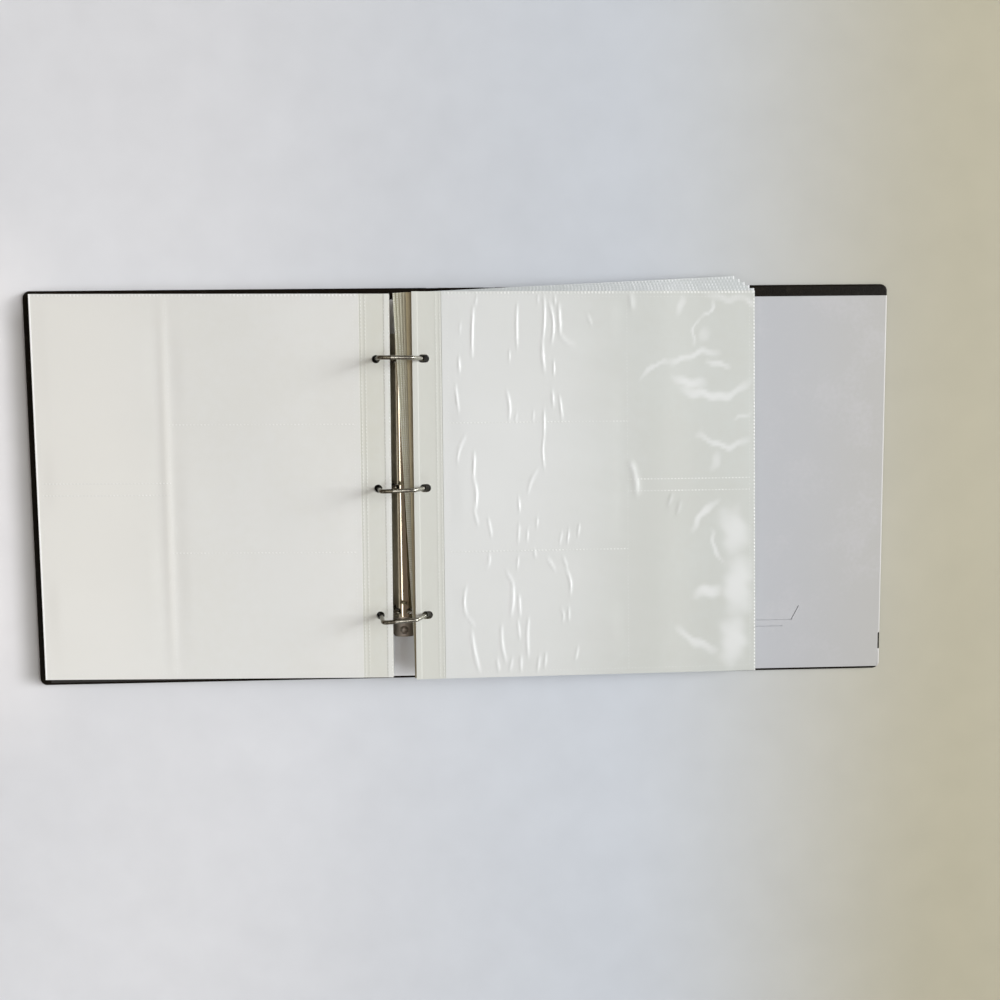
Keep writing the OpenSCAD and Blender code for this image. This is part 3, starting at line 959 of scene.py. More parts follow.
@dataclass
class LeafPlan:
    """Sizes that every leaf shares, in millimetres on its face."""

    width_mm: float = 272.0
    height_mm: float = 325.0
    strip_mm: float = 25.0
    wide_mm: float = 159.0
    border_mm: float = 4.8
    pair_mm: float = 10.0
    film_mm: float = 0.2
    thickness_mm: float = 0.9
    strip_thickness_mm: float = 0.5
    bend_mm: float = 10.0
    hole_mm: float = 6.8
    wire_mm: float = 3.5
    hole_sides: int = 40
    hole_wall_mm: float = 3.0
    cut_mm: float = 12.0
    strip_cells: tuple[int, int] = (60, 65)
    beads_mm: tuple[tuple[float, float], ...] = ((1.5, 0.1), (5.0, 0.08))
    bead_half_mm: float = 0.8
    hem_mm: float = 5.0
    hem_rise_mm: float = 0.14
    faint_weld: float = 0.12

    def welds(self) -> tuple[WeldLine, ...]:
        """Lists the dotted welds of one leaf.

        Returns:
            Its border and the seams between its pockets.
        """
        edge = self.border_mm
        far, top = self.width_mm - edge, self.height_mm - edge
        middle = self.height_mm / 2
        faint = self.faint_weld
        lines = [WeldLine(True, place, edge, top, strength=faint)
                 for place in (edge, self.wide_mm, far)]
        lines += [WeldLine(False, place, edge, far, strength=faint) for place in (edge, top)]
        lines += [WeldLine(False, share * self.height_mm, edge, self.wide_mm)
                  for share in (1 / 3, 2 / 3)]
        lines += [WeldLine(False, middle + side * self.pair_mm / 2, self.wide_mm, far)
                  for side in (-1, 1)]
        return tuple(lines)


@dataclass
class Leaf:
    """One pocket leaf: its panel of film and its punched binding strip."""

    side: Side
    number: int
    plan: LeafPlan
    columns: int = 34
    rows: int = 40
    relief: tuple[Crease | Ripple, ...] = ()
    nudge_mm: dict[str, tuple[float, float]] = field(default_factory=dict)
    curl_mm: float = 0.0
    # Strokes of light painted on the film.
    painted_light_strokes: tuple[Stroke, ...] = ()
    dense: float = 0.585
    wider_mm: float = 0.0
    slot_mm: float = 0.0

    @property
    def name(self) -> str:
        """The leaf's name, as its nodes begin."""
        return f"{self.side.value}_leaf_{self.number}"

    @property
    def body(self) -> str:
        """The body that the leaf rides on."""
        return "back_cover" if self.side is Side.LEFT else self.name

    def corners(self) -> dict[str, Vector]:
        """Finds the top corners of the leaf's sheet in the frame.

        Returns:
            The corners by name: binding or free edge, and tail or head.
        """
        metal_low, metal_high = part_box("ring_shell")
        metal_x = (metal_low.x + metal_high.x) / 2
        places = Bench.points(frame["nodes"][f"{self.name}_sheet"])
        found = {}
        for edge, sign in (("binding", 1.0), ("free", -1.0)):
            order = np.argsort(sign * np.abs(places[:, 0] - metal_x))
            near = places[order[: len(places) // 2]]
            for end, way in (("tail", -1.0), ("head", 1.0)):
                group = near[way * near[:, 1] > 0.0]
                found[f"{edge}_{end}"] = Vector(group[np.argmax(group[:, 2])])
        return found

    def place(self, out: Array, up: Array, lift_mm: Array | float) -> Array:
        """Places points of the leaf's face in the frame.

        Args:
            out: Shares of the panel's width from the strip to the free edge.
            up: Shares of the height from tail to head.
            lift_mm: Heights over the sheet's top.

        Returns:
            One row of coordinates for each point.
        """
        corner = self.corners()
        rows = np.zeros((len(out), 3))
        for name, vector in corner.items():
            shift = self.nudge_mm.get(name, (0.0, 0.0))
            point = np.array([vector.x + shift[0] * MM, vector.y + shift[1] * MM, vector.z])
            weight = (out if name.startswith("free") else 1.0 - out) * (
                up if name.endswith("head") else 1.0 - up)
            rows += weight[:, None] * point
        width = corner["free_tail"] - corner["binding_tail"]
        height = corner["binding_head"] - corner["binding_tail"]
        normal = width.cross(height).normalized()
        normal *= math.copysign(1.0, normal.z)
        return rows + np.outer(np.broadcast_to(lift_mm, len(out)) * MM, np.array(normal))

    def _face(self, name: str, columns: int, rows: int, low: float, high: float,
              lift: Callable[[Array, Array], Array], thickness_mm: float,
              dense: float = 0.0) -> Piece:
        """Models a stretch of the leaf as a closed sheet.

        Args:
            name: The new piece's name.
            columns: Cells across the stretch.
            rows: Cells along it.
            low: Where it starts, in panel widths from the strip.
            high: Where it ends, in panel widths from the strip.
            lift: Height in millimetres from the shares out and up.
            thickness_mm: Thickness of the sheet.
            dense: Share of the columns that goes to the wide pockets, 0 for even columns.

        Returns:
            The new piece.
        """
        piece = Bench.grid(name, columns, rows)
        flat = Bench.points(piece)
        share = flat[:, 0] + 0.5
        up = flat[:, 1] + 0.5
        if self.side is Side.LEFT:
            share = 1.0 - share
        if dense:
            wide = self.plan.wide_mm / self.plan.width_mm
            share = np.interp(share, (0.0, dense, 1.0), (0.0, wide, 1.0))
        out = low + (high - low) * share
        Bench.move(piece, self.place(out, up, lift(out, up)))
        layer = piece.data.uv_layers[0]
        corner_of = np.empty(len(piece.data.loops), dtype=np.int64)
        piece.data.loops.foreach_get("vertex_index", corner_of)
        layer.data.foreach_set("uv", np.column_stack((share, up))[corner_of].ravel())
        self._mark_painted_light(piece, out, up)
        Bench.apply(piece, "SOLIDIFY", thickness=thickness_mm * MM, offset=-1.0,
                    use_even_offset=True)
        return piece

    def _mark_painted_light(self, piece: Piece, out: Array, up: Array) -> None:
        """Stores where light is painted on the film: broad paler stretches, painted reflections, and
        a painted highlight along each crease.

        Args:
            piece: The piece that gets the attribute.
            out: Shares of the panel's width from the strip.
            up: Shares of the height from the tail.
        """
        out_mm, up_mm = out * self.plan.width_mm, up * self.plan.height_mm
        painted_light = np.zeros_like(out)
        for stroke in self.painted_light_strokes:
            painted_light = np.maximum(painted_light, stroke.cover(*wander(out_mm, up_mm), PAINTED_LIGHT_SHARPNESS))
        # Each crease also gets a painted highlight along it.
        for form in self.relief:
            if isinstance(form, Crease):
                painted_light += form.height(out_mm, up_mm)
        Bench.store(piece, "painted_light", "POINT", painted_light)

    def build_panel(self) -> Piece:
        """Models the panel of pockets, with its film's wrinkles.

        Returns:
            The panel.
        """
        plan = self.plan

        def lift(out: Array, up: Array) -> Array:
            """Height of the film over the sheet.

            Args:
                out: Shares of the panel's width from the strip.
                up: Shares of the height from the tail.

            Returns:
                Heights in millimetres.
            """
            total = np.full_like(out, plan.film_mm)
            for form in self.relief:
                total += form.height(out * plan.width_mm, up * plan.height_mm)
            return total

        panel = self._face(f"{self.name}_panel", self.columns, self.rows, 0.0, 1.0, lift,
                           plan.thickness_mm, self.dense)
        Bench.smooth(panel)
        return panel

    def build_strip(self) -> Piece:
        """Models the binding strip, with its welded hem and its three holes.

        Returns:
            The strip.
        """
        plan = self.plan
        share = (plan.strip_mm + self.wider_mm) / plan.width_mm

        def lift(out: Array, up: Array) -> Array:
            """Height of the strip's hem and weld beads over the sheet.

            Args:
                out: Shares of the panel's width from the panel, under 0 on the strip.
                up: Shares of the height from the tail, which make no difference here.

            Returns:
                Heights in millimetres.
            """
            inward = -out * plan.width_mm
            beads = sum(rise * np.exp(-(((inward - at) / plan.bead_half_mm) ** 2))
                        for at, rise in plan.beads_mm)
            into_hem = inward - (plan.strip_mm - plan.hem_mm)
            hem = plan.hem_rise_mm * ease(into_hem / plan.bead_half_mm)
            return beads + hem + self.curl_mm * (inward / plan.strip_mm) ** 2

        strip = self._face(f"{self.name}_strip_piece", *plan.strip_cells, -share, 0.0, lift,
                           plan.strip_thickness_mm)
        cutter = self._hole_cutter()
        Bench.apply(strip, "BOOLEAN", object=cutter, operation="DIFFERENCE", solver="EXACT")
        self._mark_holes(strip, Bench.points(cutter) + np.array(cutter.location))
        bpy.data.objects.remove(cutter)
        Bench.smooth(strip)
        return strip

    def _mark_holes(self, strip: Piece, rims: Array) -> None:
        """Stores which faces of a strip are the walls of its holes, to be painted dark as shade.

        Args:
            strip: The punched strip.
            rims: Places of the vertices that the holes were cut with.
        """
        faces = strip.data.polygons
        middles = np.empty(len(faces) * 3)
        faces.foreach_get("center", middles)
        gaps = middles.reshape(-1, 3)[:, None, :2] - rims[None, :, :2]
        steep = np.array([abs(face.normal.z) < STEEP_NORMAL for face in faces])
        near = np.linalg.norm(gaps, axis=2).min(axis=1) < self.plan.hole_wall_mm * MM
        Bench.store(strip, "hole", "FACE", steep & near)

    def _hole_cutter(self) -> Piece:
        """Adds three bars where the strip's holes are.

        On the front cover they are slotted outwards, so that the rings have room to open.

        Returns:
            The bars, joined into one object.
        """
        places = Bench.points(frame["nodes"][f"{self.name}_strip"])
        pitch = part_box("left_rings")[1].y
        Bench.clear()
        bars = []
        for ring in (-1, 0, 1):
            middle = ring * (pitch - self.plan.wire_mm * MM / 2)
            reach = self.plan.hole_mm * MM
            near = places[np.abs(places[:, 1] - middle) < reach]
            centre = (near.min(axis=0) + near.max(axis=0)) / 2
            bpy.ops.mesh.primitive_cylinder_add(
                vertices=self.plan.hole_sides, radius=self.plan.hole_mm * MM / 2,
                depth=self.plan.cut_mm * MM, location=centre)
            bar = bpy.context.object
            rim = Bench.points(bar)
            rim[:, 0] += self.slot_mm * MM * (rim[:, 0] > 0.0)
            Bench.move(bar, rim)
            bars.append(bar)
        Bench.pick(*bars)
        bpy.ops.object.join()
        return bpy.context.object

    def _hang(self, strip: Piece) -> None:
        """Lets a strip on the front cover move with its leaf; on the back cover it stays where it
        is.

        Args:
            strip: The binding strip.
        """
        if self.side is Side.RIGHT:
            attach(strip, self.body)
            return
        seam = self.corners()["binding_tail"].x
        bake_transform(strip)

    def build(self, film: Material, strip_film: Material) -> None:
        """Models and dresses the leaf.

        Args:
            film: Finish of the pockets.
            strip_film: Finish of the binding strip.
        """
        panel = self.build_panel()
        Bench.dress(panel, film)
        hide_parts(f"{self.name}_sheet", f"{self.name}_film")
        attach(panel, self.body)
        strip = self.build_strip()
        Bench.dress(strip, strip_film)
        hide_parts(f"{self.name}_strip")
        self._hang(strip)
        LOG.info("%s: panel of %d faces, strip of %d faces", self.name, len(panel.data.polygons),
                 len(strip.data.polygons))


# Colours of the lowest and of the highest strip under the top right leaf: sheet, clouds, grooves and
# dots. The highest is
# # painted darkest and brownest, as painted shade beside the top leaf.
LOW_STRIP = (rgb(0.72, 0.72, 0.56), rgb(0.66, 0.65, 0.5), rgb(0.55, 0.54, 0.41),
             rgb(0.84, 0.85, 0.82))
HIGH_STRIP = (rgb(0.33, 0.28, 0.17), rgb(0.28, 0.23, 0.13), rgb(0.26, 0.22, 0.13),
              rgb(0.4, 0.37, 0.26))
# Wrinkles of the top right leaf, in millimetres from the strip and from the tail: both ends,
# the bow between them, the width and the height.
RIGHT_CREASES = (
    (25.5, 271.2, 27.1, 312.5, -0.7, 1.2, 0.51),
    (64.1, 277.8, 64.4, 314.5, -0.6, 1.1, 0.42),
    (85.7, 284.0, 87.2, 320.7, 1.1, 1.2, 0.42),
    (87.4, 258.7, 85.7, 284.0, -0.7, 1.3, 0.41),
    (93.2, 281.8, 91.2, 316.5, 2.9, 1.2, 0.41),
    (100.9, 290.2, 100.0, 314.4, 0.0, 1.4, 0.43),
    (114.0, 280.7, 100.9, 290.2, -2.1, 1.7, 0.26),
    (95.4, 255.9, 95.2, 266.6, 0.0, 1.0, 0.35),
    (14.5, 259.2, 14.2, 270.8, 0.0, 1.1, 0.44),
    (13.8, 225.9, 10.9, 248.2, -0.2, 1.1, 0.46),
    (56.0, 218.6, 54.2, 243.0, 1.9, 1.1, 0.43),
    (57.2, 267.8, 57.3, 275.8, 0.0, 0.9, 0.37),
    (86.4, 204.3, 86.6, 226.7, 0.0, 1.1, 0.36),
    (86.8, 177.5, 86.4, 204.3, -1.5, 1.0, 0.36),
    (94.7, 229.9, 93.8, 242.6, 0.0, 1.2, 0.36),
    (102.3, 219.2, 99.9, 238.3, 0.0, 1.1, 0.37),
    (12.0, 183.9, 19.5, 205.1, -2.0, 1.1, 0.44),
    (25.4, 168.8, 26.3, 192.3, 0.0, 1.2, 0.48),
    (25.7, 143.0, 25.7, 168.8, 2.0, 1.4, 0.51),
    (29.1, 131.1, 25.7, 143.0, 0.0, 1.2, 0.33),
    (72.1, 157.3, 81.1, 176.6, -1.5, 1.1, 0.34),
    (128.6, 297.5, 124.2, 305.3, 0.0, 1.0, 0.28),
    (15.3, 291.8, 15.9, 298.4, 0.0, 1.0, 0.28),
    (28.4, 313.8, 30.2, 319.8, 0.0, 1.0, 0.27),
    (82.0, 316.1, 82.3, 320.7, 0.0, 1.0, 0.27),
    (97.2, 314.4, 96.4, 321.0, 0.0, 1.0, 0.26),
    (61.8, 218.5, 63.3, 223.3, 0.0, 1.0, 0.27),
    (76.8, 217.6, 77.8, 225.9, 0.0, 1.0, 0.24),
    (40.5, 121.1, 37.6, 136.2, 0.0, 1.1, 0.40),
    (64.8, 141.7, 63.8, 153.1, 0.0, 1.0, 0.40),
    (79.3, 129.1, 80.2, 135.5, 0.0, 1.0, 0.33),
    (63.1, 115.2, 64.2, 131.0, 0.0, 1.1, 0.27),
    (70.9, 116.7, 71.6, 126.0, 0.0, 1.0, 0.31),
    (105.7, 114.4, 107.2, 125.3, 0.0, 1.0, 0.33),
    (98.8, 113.5, 101.1, 123.2, 0.0, 1.0, 0.26),
    (114.7, 120.3, 116.5, 129.5, 0.0, 1.0, 0.30),
    (35.2, 95.1, 37.5, 105.9, 2.0, 1.1, 0.38),
    (62.1, 93.5, 63.3, 102.7, 0.0, 1.0, 0.34),
    (78.4, 103.0, 76.6, 109.0, 0.0, 1.0, 0.31),
    (95.2, 91.2, 87.6, 102.2, 0.0, 1.1, 0.35),
    (105.8, 93.5, 101.4, 102.5, 0.0, 1.0, 0.30),
    (107.6, 69.5, 103.6, 92.6, 2.5, 1.2, 0.38),
    (57.9, 82.6, 52.7, 90.4, 0.0, 1.1, 0.35),
    (56.2, 53.1, 57.9, 82.6, 1.1, 1.5, 0.48),
    (64.2, 52.9, 63.3, 70.5, 0.0, 1.2, 0.40),
    (18.8, 52.8, 18.6, 78.0, -2.5, 1.2, 0.46),
    (25.3, 45.0, 18.8, 52.8, 0.0, 1.1, 0.31),
    (29.2, 5.2, 22.5, 39.6, -1.2, 1.5, 0.51),
    (51.9, 13.4, 48.4, 44.4, -1.7, 1.3, 0.43),
    (63.7, 33.0, 62.2, 48.5, 0.0, 1.1, 0.38),
    (71.2, 16.2, 71.6, 51.1, -1.1, 1.3, 0.41),
    (100.4, 46.5, 99.4, 57.6, 2.0, 1.0, 0.30),
    (106.5, 48.6, 106.6, 58.5, 0.0, 1.1, 0.31),
    (45.7, 5.9, 43.7, 15.8, 0.0, 1.2, 0.37),
    (54.6, 5.6, 57.4, 15.5, 0.0, 1.2, 0.35),
    (64.5, 5.4, 64.6, 17.5, 0.0, 1.3, 0.38),
    (78.9, 5.0, 80.7, 17.1, 0.0, 1.2, 0.35),
    (85.1, 7.5, 86.3, 19.2, 0.0, 1.2, 0.32),
    (111.8, 14.1, 114.7, 24.0, 0.0, 1.1, 0.28),
    (164.2, 311.0, 162.0, 322.6, 0.0, 1.8, 0.37),
    (165.0, 175.2, 160.9, 181.2, 0.0, 2.0, 0.52),
    (166.8, 155.1, 163.7, 175.2, 1.0, 2.2, 0.52),
    (194.5, 144.3, 198.6, 153.4, 0.0, 1.2, 0.35),
    (202.6, 137.0, 206.0, 148.0, 0.0, 1.2, 0.33),
)
# Painted light on the film, in the same order, with a strength for the height: broad paler stretches
# towards one side,
# # and painted reflections in the film's waves.
LEFT_PAINTED_LIGHT = Stroke(272.0, -90.0, 272.0, 415.0, 0.0, 110.0, 1.0)
RIGHT_PAINTED_LIGHTS = (
    (5.0, -90.0, 5.0, 415.0, 0.0, 145.0, 0.78),
    (217.7, 279.9, 225.2, 300.9, -4.1, 1.2, 0.61),
    (225.2, 300.9, 234.5, 317.5, 2.3, 1.4, 0.61),
    (203.1, 307.4, 207.5, 320.1, 0.0, 3.0, 0.47),
    (168.4, 252.1, 198.5, 265.4, -2.5, 1.9, 0.61),
    (194.9, 264.2, 241.8, 272.2, -3.8, 2.6, 0.61),
    (250.3, 263.8, 229.8, 264.8, 0.0, 2.2, 0.61),
    (204.6, 247.4, 267.2, 248.5, 11.5, 3.4, 0.68),
    (226.7, 245.5, 198.4, 252.9, 0.0, 4.0, 0.61),
    (222.4, 282.4, 231.3, 290.7, 0.0, 3.5, 0.34),
    (266.0, 318.0, 229.6, 321.0, 0.0, 3.0, 0.40),
    (251.1, 217.7, 268.0, 220.2, 0.0, 1.5, 0.47),
    (268.0, 199.4, 221.1, 204.6, -6.3, 2.6, 0.61),
    (269.5, 310.5, 261.5, 319.6, 0.0, 2.5, 0.47),
    (234.7, 176.3, 237.4, 186.8, 0.0, 4.0, 0.40),
    (215.4, 124.2, 237.3, 147.5, 0.0, 3.0, 0.68),
    (244.6, 94.6, 231.8, 123.9, -2.4, 1.6, 0.61),
    (256.6, 107.8, 249.5, 136.8, 0.0, 11.0, 0.61),
    (256.5, 54.4, 256.6, 94.8, 0.0, 12.0, 0.68),
    (219.8, 67.7, 242.6, 70.7, 0.0, 5.0, 0.68),
    (250.6, 12.7, 253.5, 43.8, 0.0, 11.0, 0.68),
    (236.9, 17.3, 204.2, 40.9, -4.4, 3.6, 0.61),
)


@dataclass
class LeafStacks:
    """The five leaves on the back cover and the six on the front cover."""

    left: int = 5
    right: int = 6
    plan: LeafPlan = field(default_factory=LeafPlan)
    wider_mm: float = 4.5
    slot_mm: float = 2.5
    slot_gain_mm: float = 2.2

    def right_relief(self) -> tuple[Crease | Ripple, ...]:
        """The wrinkles in the film of the top leaf on the front cover."""
        return tuple(Crease(*row) for row in RIGHT_CREASES) + (
            Ripple(5, (4.0, 4.0), (self.plan.wide_mm - 2.0, 321.0), 90.0, 0.25),)

    def left_relief(self) -> tuple[Crease | Ripple, ...]:
        """The calmer film of the top leaf on the back cover.

        Returns:
            A fold beside the seam and the waves of both columns.
        """
        plan = self.plan
        fold = Crease(plan.wide_mm + 3.0, 1.0, plan.wide_mm + 3.0, 324.0, 0.0, 3.4, 0.4)
        return (
            fold,
            Ripple(21, (3.0, 3.0), (plan.wide_mm - 2.0, 322.0), 110.0, 0.3),
            Ripple(22, (plan.wide_mm + 8.0, 3.0), (plan.width_mm - 3.0, 322.0), 90.0, 0.3),
        )

    def left_leaf(self, number: int) -> Leaf:
        """A matt leaf on the back cover, a little out of square; only the top one is wavy.

        Args:
            number: The leaf's number from the lowest.

        Returns:
            The leaf.
        """
        slid = {"free_head": (-2.0, 3.0), "free_tail": (-2.2, 0.6),
                "binding_head": (1.0, -0.6), "binding_tail": (-0.6, 0.9)}
        if number < self.left:
            return Leaf(Side.LEFT, number, self.plan, nudge_mm=slid)
        return Leaf(Side.LEFT, number, self.plan, 136, 108, self.left_relief(), slid,
                    painted_light_strokes=(LEFT_PAINTED_LIGHT,))

    def top_right(self) -> Leaf:
        """The glossy leaf on top of the front cover, its binding edge curled up.

        Returns:
            The leaf.
        """
        slid = {"free_head": (-3.4, 0.7), "free_tail": (1.1, -3.2),
                "binding_head": (2.0, 0.6), "binding_tail": (1.8, -1.0)}
        return Leaf(Side.RIGHT, self.right, self.plan, 360, 136, self.right_relief(), slid, 0.5,
                    tuple(Stroke(*row) for row in RIGHT_PAINTED_LIGHTS), 0.8, slot_mm=self.slot_mm)

    def lower_right(self, number: int) -> Leaf:
        """A leaf under the top one, slid towards the metal, the lowest most of all.

        Args:
            number: The leaf's number from the lowest.

        Returns:
            The leaf.
        """
        share = (self.right - number) / (self.right - 1)
        slid = {"binding_head": (-2.8, 1.0), "binding_tail": (0.6, 0.0),
                "free_head": (-12.0, 4.0), "free_tail": (-6.0, 0.0)}
        nudges = {corner: (share * x, share * y) for corner, (x, y) in slid.items()}
        return Leaf(Side.RIGHT, number, self.plan, nudge_mm=nudges,
                    wider_mm=self.wider_mm * share, slot_mm=self.slot_mm + self.slot_gain_mm * share)

    def strip_welds(self, hem: float, seam: float) -> tuple[WeldLine, ...]:
        """The hem and the dotted welds of a binding strip.

        Args:
            hem: Strength of the hem along the binding edge.
            seam: Strength of the dotted lines beside the panel.

        Returns:
            The welds.
        """
        start, end = 1.0, self.plan.height_mm - 1.0
        inner = self.plan.strip_mm
        return (WeldLine(True, 2.4, 0.0, self.plan.height_mm, 5.6, False, 0.45 * hem),
                WeldLine(True, 0.7, start, end, 1.1, True, hem),
                WeldLine(True, 4.6, start, end, 1.1, True, 0.8 * hem),
                WeldLine(True, inner - 5.0, start, end, 1.2, True, seam),
                WeldLine(True, inner - 1.5, start, end, 1.2, True, seam))

    def lower_strip(self, number: int, effects: Effects) -> Material:
        """Finish of a binding strip under the top right leaf, painted browner and darker the higher
        it lies, as painted shade beside the top leaf.

        Args:
            number: The leaf's number from the lowest.
            effects: The shared effects.

        Returns:
            The material.
        """
        # The higher the strip, the more it is painted in the top leaf's shade.
        share = ((number - 1) / (self.right - 2)) ** 2
        colours = [blend(LOW_STRIP[part], HIGH_STRIP[part], share) for part in range(4)]
        edge = WeldLine(True, 0.6, 0.0, self.plan.height_mm, 1.2, True, 0.9 - 0.8 * share)
        return PocketFilm(f"lower_strip_{number}", self.plan.strip_mm, self.plan.height_mm, (edge,),
                          *colours, gloss=0.3, gloss_roughness=0.3, pitch_mm=1.9).material(effects)

    def build(self, effects: Effects) -> None:
        """Models and dresses every leaf.

        Args:
            effects: The shared effects.
        """
        plan = self.plan
        size = (plan.width_mm, plan.height_mm)
        strip_size = (plan.strip_mm, plan.height_mm)
        head_ticks = WeldLine(False, plan.height_mm - 1.3, 1.0, plan.width_mm, 2.4, True, 0.6)
        # A white line along the free edge: a painted highlight where the edge catches the light.
        free_line = WeldLine(True, plan.width_mm - 0.7, 0.0, plan.height_mm, 1.8, False, 1.0)
        free_dots = WeldLine(True, plan.width_mm - 0.8, 0.0, plan.height_mm, 1.6, True, 0.9)
        # The clear film on the right is painted darker than the matt film on the left: painted shade
        # where the light falls off to the right.
        matt = PocketFilm("matt_film", *size, (free_line, head_ticks, *plan.welds()),
                          rgb(0.722, 0.729, 0.709), rgb(0.708, 0.712, 0.683),
                          rgb(0.665, 0.67, 0.646), rgb(0.97, 0.97, 0.96), rgb(0.79, 0.785, 0.745),
                          gloss=0.3, gloss_roughness=0.35).material(effects)
        clear = PocketFilm("clear_film", *size,
                           (free_dots, head_ticks, *plan.welds())).material(effects)
        lower = PocketFilm("lower_film", *size, (free_line, head_ticks, *plan.welds()),
                           rgb(0.53, 0.56, 0.57), rgb(0.49, 0.52, 0.52), rgb(0.4, 0.43, 0.44),
                           rgb(0.72, 0.74, 0.75)).material(effects)
        left_strip = PocketFilm("left_strip", *strip_size, self.strip_welds(0.85, 0.4),
                                rgb(0.652, 0.661, 0.614), rgb(0.633, 0.637, 0.574),
                                rgb(0.6, 0.6, 0.55), rgb(0.86, 0.88, 0.88), gloss=0.3,
                                gloss_roughness=0.3).material(effects)
        right_strip = PocketFilm("right_strip", *strip_size, self.strip_welds(0.02, 0.2),
                                 rgb(0.58, 0.59, 0.548), rgb(0.57, 0.58, 0.53),
                                 painted_light_colour=rgb(0.58, 0.59, 0.548), gloss=0.5,
                                 gloss_roughness=0.2).material(effects)
        for number in range(1, self.left + 1):
            self.left_leaf(number).build(matt, left_strip)
        for number in range(1, self.right):
            self.lower_right(number).build(lower, self.lower_strip(number, effects))
        self.top_right().build(clear, right_strip)


@dataclass
class Covers:
    """The two covers and the spine, with the pieces that cross their folds and edges."""

    fold_half: float = 0.004
    bend_half: float = 0.0012
    skin_inset: float = 0.00002
    edge_r: float = 0.002
    wrap_w: float = 0.0024
    corner_r: float = 0.006
    worn_and_shaded_tail: Span = (-0.1496, -0.137)
    worn_corner: float = -0.1645
    worn_depth: float = 0.0005
    skin_t: float = 0.0006
    paper_t: float = 0.0002
    wrap_deg: float = 62.0
    fray: Span = (0.0006, 0.0004)
    fray_rates: Span = (2100.0, 4700.0)
    edge_smooth_deg: float = 50.0
    worn_share: float = 0.3
    fold_cells: tuple[int, int] = (48, 24)
    edge_cells: tuple[int, int] = (18, 220)

    def dress_nodes(self, leather: Material, board: Material, paper: Material) -> None:
        """Gives the covers' own solids their finishes.

        Args:
            leather: Finish of the leatherette.
            board: Finish of the boards.
            paper: Finish of the lining.
        """
        for panel in ("back", "spine", "front"):
            for layer, material in (("skin", leather), ("board", board), ("lining", paper)):
                Bench.dress(frame["nodes"][f"{panel}_{layer}"], material)
                LOG.info("%s_%s: dressed", panel, layer)

    def build_fold(self, name: str, bodies: tuple[str, str], fold_x: float,
                   leather: Material) -> None:
        """Models the leatherette that lies over one fold line.

        Args:
            name: The new piece's name.
            bodies: The bodies on its two sides, from left to right.
            fold_x: Where the fold line is.
            leather: Finish of the leatherette.
        """
        low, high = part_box("spine_skin")
        skin_top = self.skin_t - self.skin_inset
        piece = Bench.grid(name, *self.fold_cells)
        places = Bench.points(piece)
        places[:, 0] = fold_x + places[:, 0] * 2 * self.fold_half
        places[:, 1] *= high.y - low.y - 2 * self.skin_inset
        places[:, 2] = skin_top
        Bench.move(piece, places)
        Bench.apply(piece, "SOLIDIFY", thickness=skin_top - self.skin_inset, offset=-1.0)
        Bench.smooth(piece)
        Bench.dress(piece, leather)
        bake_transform(piece)
        LOG.info("%s: bends between %s and %s", name, *bodies)

    def build_edge_wrap(self, paper: Material) -> None:
        """Models the lining's last strip, drawn down over the front cover's outer edge.

        Args:
            paper: Finish of the lining.
        """
        skin_low, skin_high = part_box("front_skin")
        lining_low, lining_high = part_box("front_lining")
        arc = self.edge_r * math.radians(self.wrap_deg)
        length = self.wrap_w - self.edge_r + arc
        piece = Bench.grid("front_lining_edge", *self.edge_cells)
        flat = Bench.points(piece)
        out = (flat[:, 0] + 0.5) * length
        y = lining_low.y + (flat[:, 1] + 0.5) * (lining_high.y - lining_low.y)
        centre_y = skin_low.y + self.corner_r
        drop = np.clip(centre_y - y, 0.0, self.corner_r)
        pulled_in = self.corner_r - np.sqrt(self.corner_r ** 2 - drop ** 2)
        flat_w = self.wrap_w - self.edge_r
        turn = np.clip(out - flat_w, 0.0, None) / self.edge_r
        x = (skin_high.x - self.wrap_w + np.minimum(out, flat_w)
             + self.edge_r * np.sin(turn) - pulled_in)
        z = lining_high.z - self.edge_r * (1.0 - np.cos(turn))
        coarse, fine = self.fray_rates
        fray = self.fray[0] * np.sin(y * coarse) + self.fray[1] * np.sin(y * fine + 1.0)
        low, high = self.worn_and_shaded_tail
        worn_and_shaded = ((y > low + fray) & (y < high + fray)) | (y < self.worn_corner + fray)
        worn_and_shaded &= out > self.worn_share * flat_w
        z -= self.worn_depth * worn_and_shaded * np.minimum(out / flat_w, 1.0)
        Bench.move(piece, np.column_stack((x, y, z)))
        Bench.apply(piece, "SOLIDIFY", thickness=self.paper_t, offset=-1.0)
        Bench.smooth(piece, self.edge_smooth_deg)
        Bench.dress(piece, paper)
        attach(piece, "front_cover")
        LOG.info("front_lining_edge: %d faces", len(piece.data.polygons))

    def build(self, effects: Effects) -> None:
        """Models and dresses the covers.

        Args:
            effects: The shared effects.
        """
        leather = Leatherette().material(effects)
        board = GreyBoard().material(effects)
        paper = LiningPaper().material(effects)
        self.dress_nodes(leather, board, paper)
        joints = {joint["name"]: joint for joint in frame["joints"]}
        self.build_fold("back_fold_leatherette", ("back_cover", "spine"),
                        joints["spine_fold"]["pos_m"][0], leather)
        self.build_fold("front_fold_leatherette", ("spine", "front_cover"),
                        joints["cover_fold"]["pos_m"][0], leather)
        self.build_edge_wrap(paper)


